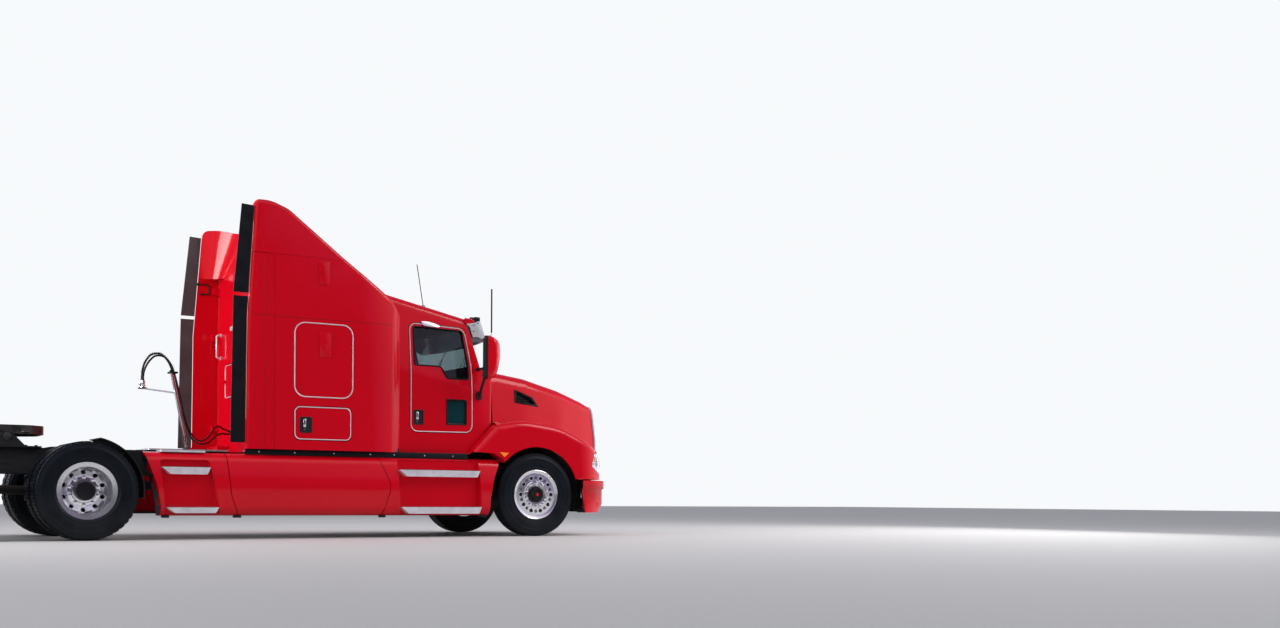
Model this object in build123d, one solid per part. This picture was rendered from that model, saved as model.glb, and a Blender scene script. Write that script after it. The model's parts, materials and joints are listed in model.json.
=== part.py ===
from build123d import *
from math import pi, radians, tan
import os

# Conventional semi truck tractor unit with a high-roof sleeper, in millimetres.
# +X points to the front, +Y to the truck's left, +Z up. The origin is on the ground, halfway
# between the bumper's front and the frame's rear end, in the plane of symmetry.

# Running gear
TYRE_R = 510
TYRE_W = 280
RIM_R = 298
RIM_HOLE_R = 248
AXLE_Z = 510
FRONT_AXLE_X = 2950
DRIVE_AXLES_X = {"front": -2230, "rear": -3550}
STEER_TYRE_Y = 1045
KINGPIN_Y = 860
DUAL_Y = 920
DUAL_HALF_GAP = 170

# Ends of the truck and its frame
FRONT_X = 4150
REAR_X = -4150
RAIL_Y = 432
RAIL_FLANGE = 88
RAIL_TOP = 965
RAIL_BOTTOM = 695
RAIL_FRONT_X = 3700

# Body lines
BODY_BOTTOM = 985
WALL = 50
SKIN = 26
CAB_HALF = 1030
CAB_ROOF_HALF = 935
CAB_FRONT_X = 2432
COWL_TOP = 2036
HOOD_REAR_X = 2440
SLEEPER_HALF = 1175
SLEEPER_BACK_X = -300
SLEEPER_FRONT_X = 1215
EXTENDER_X = -612
ROOF_SEAM_Z = 3135
FENDER_HALF = 1205
FAIRING_HALF = 1210
FAIRING_BOTTOM = 255
FAIRING_TOP = 930
BUMPER_TOP = 690
HOOD_BOTTOM = 705
ARCH_R = 590

# Hinges: the hood tilts about a line over the bumper's front edge
HOOD_HINGE = (4110, 716)
HINGE_PIN_R = 12
DOOR_HINGE_X = 2160
FIFTH_WHEEL_X = -2890
FIFTH_WHEEL_TOP = 1200
FIFTH_WHEEL_PIN_Z = 1075

# Gap round a door, hatch or panel, and the radial clearance of a pin in its bore
GAP = 7
FIT = 0.05

WIDE = 1400


def outline(rows):
    """Closed face from rows of (a, b, corner radius)."""
    corners = [(a, b) for a, b, _ in rows]
    radii = [r for _, _, r in rows]
    return make_face(FilletPolyline(*corners, radius=radii, close=True))


def both_halves(rows):
    """Rows of (across, up, radius) of the left half, then the same mirrored, as one outline."""
    mirrored = [(-a, b, r) for a, b, r in reversed(rows) if a]
    return outline([*rows, *mirrored])


def both_halves_x(rows):
    """Rows of (x, across, radius) of the left half, then the same mirrored, as one outline."""
    mirrored = [(a, -b, r) for a, b, r in reversed(rows)]
    return outline([*rows, *mirrored])


def shrunk(face, inset):
    return offset(face, amount=-inset, kind=Kind.INTERSECTION) if inset else face


def side_prism(face, y_low, y_high):
    """An X-Z face, carried from y_low to y_high."""
    plane = Plane(origin=(0, y_high, 0), x_dir=(1, 0, 0), z_dir=(0, -1, 0))
    return extrude(plane * face, amount=y_high - y_low)


def front_prism(face, x_low, x_high):
    """A Y-Z face, carried from x_low to x_high."""
    return extrude(Plane.YZ.offset(x_low) * face, amount=x_high - x_low)


def plan_prism(face, z_low, z_high):
    """An X-Y face, carried from z_low to z_high."""
    return extrude(Plane.XY.offset(z_low) * face, amount=z_high - z_low)


def block(x, y, z):
    """A box from three (low, high) pairs."""
    size = (x[1] - x[0], y[1] - y[0], z[1] - z[0])
    middle = (sum(x) / 2, sum(y) / 2, sum(z) / 2)
    return Pos(*middle) * Box(*size)


def rod(start, end, radius):
    """A round bar between two points."""
    line = Line(start, end)
    return extrude(Plane(line @ 0, z_dir=line % 0) * Circle(radius), amount=line.length)


def along_x(x_low, x_high, y, z, radius):
    return Pos((x_low + x_high) / 2, y, z) * Rot(0, 90, 0) * Cylinder(radius, x_high - x_low)


def along_y(x, z, radius, y_low, y_high):
    return Pos(x, (y_low + y_high) / 2, z) * Rot(90, 0, 0) * Cylinder(radius, y_high - y_low)


def along_z(x, y, z_low, z_high, radius):
    return Pos(x, y, (z_low + z_high) / 2) * Cylinder(radius, z_high - z_low)


def turned(rows):
    """A solid of revolution about Y from rows of (radius, y, corner radius)."""
    return revolve(outline(rows), axis=Axis.Y)


def right_of(shape):
    return mirror(shape, about=Plane.XZ)


def pair(shape):
    """A left-hand shape with its right-hand twin."""
    return [*shape.solids(), *right_of(shape).solids()]


def write(name, *shapes):
    solids = [s for shape in shapes for s in (shape if isinstance(shape, list) else shape.solids())]
    whole = solids[0] if len(solids) == 1 else Compound(children=solids)
    export_step(whole, f"parts/{name}.step")


# Frame

CROSSMEMBERS = (
    # x, underside, depth: those over the propeller shaft sit higher
    (1250, 875, 80), (150, 790, 150), (-900, 755, 150), (-1700, 755, 150), (FIFTH_WHEEL_X, 755, 150),
    (-4060, 755, 150),
)
CAB_MOUNTS_X = (2020, 700, -230)


def frame_rails():
    """Two C-section rails facing each other, each with the horn that carries the bumper."""
    web = 10
    inner = RAIL_Y - RAIL_FLANGE
    channel = outline([
        (0, RAIL_BOTTOM, 0), (-RAIL_FLANGE, RAIL_BOTTOM, 0), (-RAIL_FLANGE, RAIL_BOTTOM + web, 0),
        (-web, RAIL_BOTTOM + web, 10), (-web, RAIL_TOP - web, 10), (-RAIL_FLANGE, RAIL_TOP - web, 0),
        (-RAIL_FLANGE, RAIL_TOP, 0), (0, RAIL_TOP, 0),
    ])
    horn = block((3560, 4200), (inner, inner + 54), (600, BUMPER_TOP - 18)) & bumper_cavity()
    horn += block((3560, RAIL_FRONT_X), (inner, inner + 54), (660, RAIL_BOTTOM))
    return pair(front_prism(Pos(RAIL_Y, 0) * channel, REAR_X, RAIL_FRONT_X) + horn)


def crossmembers():
    """Channels between the rails, an end plate with four bolt holes, and the cab's rubber mounts."""
    web, inner = 12, RAIL_Y - RAIL_FLANGE
    parts = []
    for x, low, depth in CROSSMEMBERS:
        channel = block((x - 40, x + 40), (-inner, inner), (low, low + depth))
        parts.append(channel - block((x - 28, x + 41), (-inner, inner), (low + web, low + depth - web)))
    plate = block((REAR_X, REAR_X + 12), (-inner, inner), (RAIL_BOTTOM + 20, RAIL_TOP - 20))
    for y in (-70, 70):
        for z in (RAIL_BOTTOM + 75, RAIL_BOTTOM + 195):
            plate -= along_x(REAR_X - 5, REAR_X + 20, y, z, 11)
    parts.append(plate)
    for x in CAB_MOUNTS_X:
        for y in (-390, 390):
            parts.append(along_z(x, y, RAIL_TOP, BODY_BOTTOM, 38))
    return parts


# Front axle, steering and springs

def front_axle():
    """Forged I-beam, dropped in the middle, with an eye for each kingpin, and its leaf springs."""
    beam = both_halves([
        (520, 400, 60), (620, 470, 60), (KINGPIN_Y, 470, 0), (KINGPIN_Y, 555, 0), (600, 555, 60),
        (500, 485, 60),
    ])
    axle = front_prism(beam, FRONT_AXLE_X - 48, FRONT_AXLE_X + 48)
    for side in (-1, 1):
        y = side * KINGPIN_Y
        axle += along_z(FRONT_AXLE_X, y, 469, 556, 52)
        axle -= along_z(FRONT_AXLE_X, y, 400, 600, 25 + FIT)
        leaf = outline([
            (2230, 640, 0), (2300, 600, 0), (2700, 505, 0), (3200, 505, 0), (3600, 600, 0),
            (3670, 640, 0), (3660, 660, 0), (3590, 622, 0), (3190, 560, 0), (2710, 560, 0),
            (2310, 622, 0), (2240, 660, 0),
        ])
        spring = side_prism(leaf, side * 450 - 40, side * 450 + 40)
        seat = block((FRONT_AXLE_X - 60, FRONT_AXLE_X + 60), (side * 450 - 50, side * 450 + 50), (480, 585))
        for x in (2250, 3650):
            hanger = outline([(x - 45, 600, 0), (x + 45, 600, 0), (x + 60, RAIL_BOTTOM, 0), (x - 60, RAIL_BOTTOM, 0)])
            spring += side_prism(hanger, side * 445 - 36, side * 445 + 36)
        axle += spring + seat
    return axle


def knuckle():
    """Left steering knuckle: two ears on the kingpin, the spindle and the steering arm."""
    ears = block((-40, 40), (-48, 62), (575, 640)) + block((-40, 40), (-48, 62), (380, 455))
    ears = fillet(ears.edges().filter_by(Axis.Z).group_by(Axis.Y)[0], 30)
    web = block((-40, 40), (62, 95), (380, 640))
    pin = along_z(0, 0, 387, 637, 25)
    flange = along_y(0, AXLE_Z, 70, 95, 112)
    spindle = along_y(0, AXLE_Z, 35, 110, 252)
    arm = plan_prism(outline([(-270, -26, 20), (-60, -26, 60), (20, -46, 10), (20, 40, 10), (-270, 24, 20)]), 400, 440)
    return Pos(FRONT_AXLE_X, KINGPIN_Y, 0) * (ears + web + pin + flange + spindle + arm)


def tie_rod():
    """Bar between the two steering arms, with a ball joint under each arm."""
    x, z = FRONT_AXLE_X - 245, 372
    bar = along_y(x, z, 20, -KINGPIN_Y, KINGPIN_Y)
    for y in (-KINGPIN_Y, KINGPIN_Y):
        bar += Pos(x, y, z) * Cylinder(27, 46)
    return bar


# Drive axles and what drives them

def drive_axle(x):
    """Banjo housing with tubes, brake chambers, air springs and trailing arms."""
    tube = along_y(x, AXLE_Z, 68, -620, 620)
    banjo = along_y(x, AXLE_Z, 205, -120, 120)
    banjo = fillet(banjo.edges().filter_by(GeomType.CIRCLE), 50)
    nose = Pos(x + 190, 0, AXLE_Z + 20) * Rot(0, 90, 0) * Cone(130, 70, 260)
    axle = tube + banjo + nose
    for side in (-1, 1):
        y = (side * 470 - 45, side * 470 + 45)
        arm = block((x - 360, x + 270), y, (AXLE_Z - 110, AXLE_Z - 50))
        hanger = side_prism(outline([
            (x + 190, AXLE_Z - 110, 20), (x + 270, AXLE_Z - 110, 20), (x + 300, RAIL_BOTTOM, 0),
            (x + 160, RAIL_BOTTOM, 0),
        ]), side * 445 - 30, side * 445 + 30)
        seat = block((x - 60, x + 60), y, (AXLE_Z - 60, AXLE_Z + 80))
        bag = along_z(x - 250, side * 468, AXLE_Z - 50, RAIL_BOTTOM, 118)
        axle += arm + hanger + seat + fillet(bag.edges().filter_by(GeomType.CIRCLE), 30)
        axle += Pos(x + 110, side * 280, AXLE_Z + 110) * Rot(0, 70, 0) * Cylinder(78, 170)
    return axle


def drive_axles():
    """Both axles with the shafts that join them to each other and reach for the gearbox."""
    front, rear = DRIVE_AXLES_X["front"], DRIVE_AXLES_X["rear"]
    train = drive_axle(front) + drive_axle(rear)
    train += rod((front + 300, 0, AXLE_Z + 22), (1530, 0, 838), 52)
    train += rod((front - 180, 0, AXLE_Z), (rear + 300, 0, AXLE_Z + 22), 48)
    for x, z in ((front + 320, 535), (1525, 837), (rear + 320, 530)):
        train += along_x(x - 22, x + 22, 0, z, 85)
    return train


def engine():
    """Block, heads, sump, gearbox and fan as one plain mass, and the radiator in front of it."""
    core = fillet(block((2600, 3600), (-260, 260), (740, 1440)).edges().filter_by(Axis.X), 60)
    cover = fillet(block((2680, 3520), (-165, 165), (1430, 1560)).edges(), 30)
    sump = fillet(block((2720, 3480), (-180, 180), (600, 760)).edges().filter_by(Axis.Z), 40)
    bell = along_x(2440, 2605, 0, 860, 190)
    box = Pos(2000, 0, 840) * Rot(0, 90, 0) * Cone(105, 150, 900)
    flange = along_x(1547, 1560, 0, 840, 85)
    hub = along_x(3590, 3760, 0, 1130, 55)
    fan = along_x(3680, 3712, 0, 1130, 110)
    for k in range(9):
        fan += Pos(3700, 0, 1130) * Rot(40 * k, 0, 0) * Pos(0, 0, 200) * Rot(0, 0, 35) * Box(12, 80, 250)
    mass = core + cover + sump + bell + box + flange + hub + (fan & block((3672, 3730), (-WIDE, WIDE), (700, 1500)))
    for y in (-1, 1):
        mass += block((3050, 3150), (min(y * 250, y * 420), max(y * 250, y * 420)), (RAIL_TOP, RAIL_TOP + 60))
    return mass


def radiator():
    core = block((3775, 3880), (-425, 425), (RAIL_TOP + 8, 1540))
    ring = block((3735, 3775), (-400, 400), (RAIL_TOP + 8, 1500)) - along_x(3700, 3800, 0, 1130, 352)
    feet = block((3720, 3880), (-330, 330), (RAIL_BOTTOM + 30, RAIL_TOP + 8)) - along_x(3700, 3800, 0, 1130, 352)
    feet -= block((3700, 3900), (-250, 250), (RAIL_BOTTOM, RAIL_TOP - 20))
    return core + ring + feet


# Wheels and tyres

def tyre(y_middle, width=TYRE_W):
    """Plain tyre with its sidewalls as two arcs."""
    half = width / 2
    rows = [
        (RIM_R - 14, 0.78 * half, 0), (RIM_R + 40, 0.96 * half, 0), (410, half, 90),
        (TYRE_R - 22, 0.90 * half, 30), (TYRE_R, 0.76 * half, 0),
    ]
    left = [(r, -a, c) for r, a, c in reversed(rows)]
    return Pos(0, y_middle, AXLE_Z) * turned([*rows, *left])


def steer_rim():
    return turned([
        (RIM_HOLE_R, 930, 0), (RIM_R + 2, 930, 8), (RIM_R + 2, 944, 0), (RIM_R - 14, 950, 0),
        (RIM_R - 20, 985, 0), (RIM_R - 20, 1105, 0), (RIM_R - 14, 1140, 0), (RIM_R + 2, 1146, 0),
        (RIM_R + 2, 1160, 8), (RIM_HOLE_R + 14, 1150, 12), (150, 1158, 10), (130, 1140, 8),
        (60, 1140, 0), (60, 1112, 0), (200, 1112, 20), (RIM_HOLE_R, 1085, 10),
    ])


def steer_wheel():
    """Disc wheel with ten hand holes, hub and brake drum for the left steer position."""
    hub = turned([
        (35 + FIT, 985, 0), (96, 985, 0), (96, 1114, 0), (70, 1114, 0), (70, 1190, 14), (0, 1190, 0),
        (0, 1118, 0), (35 + FIT, 1118, 0),
    ])
    drum = turned([
        (192, 945, 0), (212, 945, 0), (212, 1090, 8), (90, 1090, 0), (90, 1075, 0), (192, 1075, 8),
    ])
    wheel = steer_rim() + hub + drum
    for k in range(10):
        wheel -= Rot(0, 36 * k, 0) * Pos(0, 1130, 205) * Rot(90, 0, 0) * Cylinder(20, 90)
    for k in range(10):
        wheel += Rot(0, 36 * k + 18, 0) * Pos(0, 1156, 143) * Rot(90, 0, 0) * Cylinder(15, 44)
    return Pos(0, 0, AXLE_Z) * wheel


def drive_rim(side):
    """Disc wheel with its disc on the plane between the twins, its dish outwards or inwards."""
    disc = 13
    far, near = DUAL_Y + side * (DUAL_HALF_GAP + 115), DUAL_Y + side * 55
    return turned([
        (RIM_HOLE_R, far - side * 5, 0), (RIM_R - 6, far, 0), (RIM_R, far - side * 4, 0),
        (RIM_R, far - side * 14, 0), (RIM_R - 14, far - side * 18, 0),
        (RIM_R - 22, far - side * 55, 0), (RIM_R - 22, near + side * 20, 0),
        (RIM_R, near + side * 4, 0), (RIM_R, near - side * 4, 0), (RIM_R - 14, near - side * 6, 0),
        (150, DUAL_Y, 0), (80, DUAL_Y, 0), (80, DUAL_Y + side * 2 * disc, 0),
        (160, DUAL_Y + side * 2 * disc, 10), (RIM_HOLE_R - 4, near + side * 16, 24),
    ])


def drive_wheel():
    """Two disc wheels bolted face to face, with hub and drum, for a left drive position."""
    hub = turned([
        (72.5, 640, 0), (110, 640, 0), (110, 900, 0), (140, 900, 0), (140, 1000, 30), (98, 1010, 0),
        (98, 1128, 20), (0, 1128, 0), (0, 1040, 0), (72.5, 1040, 0),
    ])
    drum = turned([
        (196, 662, 0), (214, 662, 0), (214, 900, 10), (100, 900, 0), (100, 884, 0), (196, 884, 8),
    ])
    wheel = drive_rim(1) + drive_rim(-1) + hub + drum
    for k in range(10):
        wheel -= Rot(0, 36 * k, 0) * Pos(0, DUAL_Y, 196) * Rot(90, 0, 0) * Cylinder(23, 140)
    return Pos(0, 0, AXLE_Z) * wheel


# Nose: bumper, hood with its fenders, grille and lamps

NOSE_PLAN = (
    # x, y, corner radius of the left half, from the fender's side to the middle
    (3700, FENDER_HALF, 500), (3975, 1010, 330), (FRONT_X - 35, 520, 900), (FRONT_X, 200, 1800),
)


def nose_plan(inset, rear_x):
    return shrunk(both_halves_x([(rear_x, FENDER_HALF, 0), *NOSE_PLAN]), inset)


def bumper_cavity():
    return plan_prism(nose_plan(34, 3300), 324, BUMPER_TOP - 18)


def bumper():
    """Wrap-round bumper, open behind, with an air slot, two lamp openings and the hood's hinge pins."""
    low = 290
    side = outline([
        (3605, low, 0), (3900, low, 120), (4085, 385, 60), (FRONT_X + 60, 410, 0), (FRONT_X + 60, BUMPER_TOP, 0),
        (3560, BUMPER_TOP, 0), (3560, 560, 0),
    ])
    shell = plan_prism(nose_plan(0, 3400), low, BUMPER_TOP) & side_prism(side, -WIDE, WIDE)
    shell -= bumper_cavity()
    shell -= block((3300, 3900), (-1000, 1000), (low - 10, BUMPER_TOP + 10))
    slot = both_halves([(300, 475, 30), (330, 585, 30)])
    shell -= front_prism(slot, 3900, 4300)
    for y in (-640, 640):
        shell -= front_prism(Pos(y, 530) * Rectangle(220, 100), 3950, 4300)
    x, z = HOOD_HINGE
    ears = block((x - 28, x + 18), (370, 390), (BUMPER_TOP - 2, z + 16))
    ears += block((x - 28, x + 18), (460, 480), (BUMPER_TOP - 2, z + 16))
    ears += along_y(x, z, HINGE_PIN_R, 372, 478)
    return shell + ears + right_of(ears)


HOOD_STATIONS = (
    # x, foot half width, shoulder half width, foot z, shoulder z, crown z, shoulder radius
    (HOOD_REAR_X, 1000, 925, 1250, 2010, 2070, 150),
    (2950, 950, 865, 1150, 1950, 2005, 150),
    (3500, 830, 745, 1000, 1835, 1885, 140),
    (3900, 680, 610, 850, 1722, 1765, 120),
    (4170, 560, 505, 760, 1625, 1660, 90),
)


def hood_form(inset):
    """The hood without its fenders: a loft over its stations, cut to its leaning front."""
    sections = []
    for x, foot, shoulder, foot_z, shoulder_z, crown_z, radius in HOOD_STATIONS:
        half = [
            (foot - inset, 600, 0), (foot - inset, foot_z, 0), (shoulder - inset, shoulder_z - inset, radius),
        ]
        right = [(-a, b, r) for a, b, r in reversed(half)]
        sections.append(Plane.YZ.offset(x) * outline([*half, (0, crown_z - inset, 1500), *right]))
    front = outline([
        (2300, 500, 0), (4118, 500, 0), (4118, 760, 200), (4150, 1120, 300), (4082, 1690, 0),
        (4082, 2300, 0), (2300, 2300, 0),
    ])
    return loft(sections, ruled=True) & side_prism(shrunk(front, inset), -WIDE, WIDE)


FENDER_SIDE = (
    # x, z, corner radius along the top of the fender from its tail forwards, then back below
    (2105, 1012, 0), (2130, 1062, 0), (2415, 1352, 90), (2760, 1412, 700), (3280, 1348, 900),
    (3760, 1130, 700), (4035, 900, 250), (4075, HOOD_BOTTOM, 0), (3555, HOOD_BOTTOM, 0),
    (2560, HOOD_BOTTOM, 0), (2500, 925, 60), (2360, 1002, 60),
)


def fender_form(inset):
    """Both fenders as one bar across the nose, rounded along their outer edges."""
    bar = side_prism(shrunk(outline(FENDER_SIDE), inset), -FENDER_HALF, FENDER_HALF)
    bar &= plan_prism(nose_plan(8 + inset, 1900), 600, 1600)
    rounding = 78 - inset
    tops = [
        e for e in bar.edges()
        if abs(abs(e.center().Y) - (FENDER_HALF - 8 - inset)) < 1 and e.center().Z > 1100 and e.center().X > 2200
    ]
    return fillet(tops, rounding)


def headlamp_region():
    lamp = outline([(650, 790, 40), (1040, 770, 40), (1150, 860, 40), (1130, 1035, 40), (985, 1062, 60), (690, 905, 60)])
    return front_prism(lamp, 3700, 4300) + right_of(front_prism(lamp, 3700, 4300))


def grille_region(inset):
    opening = both_halves([(400 - inset, 770 + inset, 50), (430 - inset, 1180, 400), (400 - inset, 1560 - inset, 110)])
    return front_prism(opening, 3980, 4300)


def vent_region():
    vent = outline([(2795, 1790, 10), (2792, 1655, 10), (3095, 1628, 5), (3020, 1708, 60)])
    return side_prism(vent, 700, 1100) + right_of(side_prism(vent, 700, 1100))


def hood_shell():
    """Hood and fenders as one moulding: outer form less inner form, with its openings cut."""
    outer = hood_form(0) + fender_form(0)
    inner = hood_form(SKIN) + fender_form(SKIN)
    low = side_prism(outline([
        (2000, 400, 0), (4300, 400, 0), (4300, HOOD_BOTTOM + SKIN, 0), (2000, HOOD_BOTTOM + SKIN, 0),
    ]), -FENDER_HALF + 8 + SKIN, FENDER_HALF - 8 - SKIN) & plan_prism(nose_plan(8 + SKIN, 1900), 300, 800)
    behind = block((2300, HOOD_REAR_X + 60), (-970, 970), (700, 1975))
    shell = outer - inner - low
    shell -= block((2000, 4300), (-WIDE, WIDE), (300, HOOD_BOTTOM))
    shell -= along_y(FRONT_AXLE_X - 5, 500, ARCH_R, -WIDE, WIDE)
    shell -= behind
    shell -= block((2300, 2540), (-1002, 1002), (HOOD_BOTTOM - 5, 985))
    beside_cab = CAB_HALF + 10
    shell -= block((2000, HOOD_REAR_X), (-beside_cab, beside_cab), (700, 2300))
    shell -= grille_region(0)
    shell -= headlamp_region()
    shell -= vent_region()
    x, z = HOOD_HINGE
    for side in (-1, 1):
        shell -= block((x - 60, x + 60), (side * 425 - 68, side * 425 + 68), (z - 40, z + 32))
        lug = along_y(x, z, 19, side * 425 - 28, side * 425 + 28)
        lug += block((x - 19, x - 2), (side * 425 - 28, side * 425 + 28), (z, z + 78))
        shell += lug - along_y(x, z, HINGE_PIN_R + FIT, side * 425 - 80, side * 425 + 80)
    return shell


def grille():
    """Surround ring with vertical and crossing bars, in one casting."""
    band = hood_form(4) - hood_form(44)
    ring = (band & grille_region(3)) - grille_region(34)
    bars = None
    for k in range(13):
        z = 850 + 54 * k
        bar = Pos(4075, 0, z) * Rot(0, 24, 0) * Box(46, 860, 7)
        bars = bar if bars is None else bars + bar
    for y in (-300, -200, -100, 0, 100, 200, 300):
        bars += block((4040, 4110), (y - 5, y + 5), (700, 1600))
    lean = side_prism(outline([
        (4030, 700, 0), (4072, 700, 0), (4110, 1120, 0), (4052, 1600, 0), (4010, 1600, 0), (4066, 1120, 0),
    ]), -WIDE, WIDE)
    return ring + (bars & lean & grille_region(20))


def headlamps():
    skin = (fender_form(2) + hood_form(2)) - (fender_form(SKIN) + hood_form(SKIN))
    lamp = outline([(654, 794, 40), (1036, 774, 40), (1146, 863, 40), (1126, 1031, 40), (983, 1058, 60), (694, 902, 60)])
    shape = front_prism(lamp, 3700, 4300)
    return pair(skin & shape)


# Cab

ROOF_SLOPE = 0.214
SCREEN_LEAN = (-215, 605)


def cab_loft(inset):
    """Cab section with its crowned roof, carried back along the roof's slope."""
    front_x, rear_x = 2460, 900
    left = [(CAB_HALF - inset, 500, 0), (CAB_HALF - inset, 1700, 900), (CAB_ROOF_HALF - inset, 2552 - inset, 110)]
    right = [(-a, b, r) for a, b, r in reversed(left)]
    section = Plane.YZ.offset(front_x) * outline([*left, (0, 2596 - inset, 2500), *right])
    back = Vector(-1, 0, ROOF_SLOPE)
    return extrude(section, amount=(front_x - rear_x) * back.length, dir=back.normalized())


def cab_form(inset):
    """Cab with its cowl: the loft, cut below by the cowl's side and above by the screen's lean."""
    body = cab_loft(inset)
    side = shrunk(outline([
        (700, BODY_BOTTOM, 0), (2125, BODY_BOTTOM, 60), (2400, 1292, 60), (CAB_FRONT_X, 1350, 0),
        (CAB_FRONT_X, COWL_TOP, 0), (700, COWL_TOP, 0),
    ]), inset)
    plan = shrunk(outline([
        (700, 1040, 0), (2150, 1040, 800), (CAB_FRONT_X, 1000, 60), (CAB_FRONT_X, -1000, 60),
        (2150, -1040, 800), (700, -1040, 0),
    ]), inset)
    lower = body & side_prism(side, -WIDE, WIDE) & plan_prism(plan, 700, 2200)
    screen = shrunk(outline([
        (700, 1040, 0), (2235, 1040, 40), (2302, 930, 120), (2400, 430, 1200), (2400, -430, 1200),
        (2302, -930, 120), (2235, -1040, 40), (700, -1040, 0),
    ]), inset)
    start = COWL_TOP - inset
    shift = (start - COWL_TOP) * SCREEN_LEAN[0] / SCREEN_LEAN[1]
    lean = Vector(SCREEN_LEAN[0], 0, SCREEN_LEAN[1])
    upper = extrude(Plane.XY.offset(start) * Pos(shift, 0) * screen, amount=lean.length * 1.6, dir=lean.normalized())
    return lower + (body & upper)


DOOR_ROWS = ((1345, 1228, 95), (DOOR_HINGE_X, 1235, 95), (2157, 2050, 0), (2080, 2508, 50), (1345, 2534, 95))
WINDOW_ROWS = (
    (1400, 2018, 25), (1737, 2018, 30), (1822, 1878, 30), (2104, 1878, 25), (2104, 2050, 0), (2042, 2474, 35),
    (1400, 2488, 35),
)
LOWER_WINDOW_ROWS = ((1808, 1331, 15), (2076, 1331, 15), (2076, 1639, 15), (1808, 1639, 15))
SPLIT_Y = 850


def cab_parts():
    """Cab shell split into sides, roof, floor and cowl, with its doors, glass and windshield."""
    outer, inner = cab_form(0), cab_form(WALL)
    shell = (outer - inner - sleeper_form(0)) & block((900, 2600), (-WIDE, WIDE), (900, 3100))
    shell -= block((900, SLEEPER_FRONT_X), (-WIDE, WIDE), (900, 2600))
    door_hole = side_prism(outline(DOOR_ROWS), SPLIT_Y, WIDE)
    windows = side_prism(outline(WINDOW_ROWS), SPLIT_Y - 50, WIDE)
    windows += side_prism(outline(LOWER_WINDOW_ROWS), SPLIT_Y - 50, WIDE)

    door = (outer - inner) & side_prism(shrunk(outline(DOOR_ROWS), GAP), SPLIT_Y + GAP, WIDE)
    glass = (cab_loft(16) - cab_loft(22)) & windows
    pocket = block((1404, 1507), (CAB_HALF - 18, WIDE), (1332, 1485))
    paddle = block((1430, 1481), (CAB_HALF - 18, CAB_HALF - 2), (1350, 1467))
    door = door - windows - pocket + paddle
    screen = front_prism(both_halves([(880, 2095, 60), (800, 2545, 70)]), 1900, 2600)
    sides = (shell & block((900, 2600), (SPLIT_Y, WIDE), (900, 3100))) - door_hole - screen

    between = block((900, 2600), (-SPLIT_Y, SPLIT_Y), (900, 3100))
    middle = shell & between
    roof_zone = block((900, 2160), (-SPLIT_Y, SPLIT_Y), (2400, 3100))
    roof_zone += block((900, 2400), (-SPLIT_Y, SPLIT_Y), (2545, 3100))
    floor_zone = block((900, 2200), (-SPLIT_Y, SPLIT_Y), (900, BODY_BOTTOM + WALL))
    roof = (middle & roof_zone) - screen
    floor = middle & floor_zone
    cowl = middle - roof_zone - floor_zone - screen
    windshield = (cab_form(14) - cab_form(21)) & screen
    return {
        "cab_sides": pair(sides), "cab_roof": roof, "cab_floor": floor, "cowl": cowl,
        "windshield": windshield, "door_left": door, "door_glass_left": glass,
    }


def visor():
    """Polished sun visor: a bent sheet turned about a distant upright axis, with end plates."""
    reach = 4400
    tip_x, top_x = 2448, 2368
    sheet = outline([
        (top_x - 110, 2652, 0), (top_x, 2648, 12), (tip_x, 2362, 0), (tip_x - 12, 2359, 0),
        (top_x - 12, 2634, 10), (top_x - 110, 2638, 0),
    ])
    axis_x = tip_x - reach
    section = Plane(origin=(axis_x, 0, 0), x_dir=(1, 0, 0), z_dir=(0, -1, 0)) * Pos(-axis_x, 0) * sheet
    turn = revolve(section, axis=Axis((axis_x, 0, 0), (0, 0, 1)), revolution_arc=12.6)
    turn += mirror(turn, about=Plane.XZ)
    plate = side_prism(outline([(2160, 2440, 10), (2346, 2362, 0), (2266, 2632, 0), (2162, 2600, 0)]), 948, 958)
    return turn + plate + right_of(plate)


def mirror_arm():
    """Left mirror arm: foot on the cowl's side, slanting tube and upright."""
    arm = block((2198, 2258), (990, 1062), (1645, 1745))
    arm = fillet(arm.edges().filter_by(Axis.Y), 20)
    arm += rod((2228, 1050, 1695), (2212, 1215, 1868), 17)
    arm += rod((2212, 1215, 1868), (2212, 1215, 2370), 15)
    arm += Pos(2212, 1215, 1868) * Sphere(18)
    arm += rod((2212, 1215, 2012), (2216, 1000, 2012), 15)
    return arm


def mirror_head():
    """Left mirror head: a deep rounded shell whose flat face looks back at the driver."""
    plan = outline([(-104, -122, 20), (-104, 122, 20), (30, 120, 60), (86, 0, 120), (30, -120, 60)])
    head = plan_prism(plan, 1885, 2388)
    head = fillet(head.edges().filter_by_position(Axis.Z, 2387, 2389), 35)
    head = fillet(head.edges().filter_by_position(Axis.Z, 1884, 1886), 35)
    return Pos(2300, 1292, 0) * Rot(0, 0, 22) * head


# Sleeper

SLEEPER_SIDE = (
    # x, z, corner radius
    (EXTENDER_X - 6, BODY_BOTTOM, 0), (EXTENDER_X + 6, 2435, 0), (-514, 3724, 70), (-330, 3730, 400),
    (-130, 3656, 300), (504, 3168, 2000), (1088, 2747, 140), (1195, 2590, 90), (SLEEPER_FRONT_X, 2440, 90),
    (SLEEPER_FRONT_X, BODY_BOTTOM, 0),
)


def sleeper_front(inset):
    """The sleeper's outline from the front, barrelled above its waist."""
    return shrunk(both_halves([
        (SLEEPER_HALF, 900, 0), (SLEEPER_HALF, 2450, 3000), (SLEEPER_HALF - 45, 3900, 0),
    ]), inset)


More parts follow.
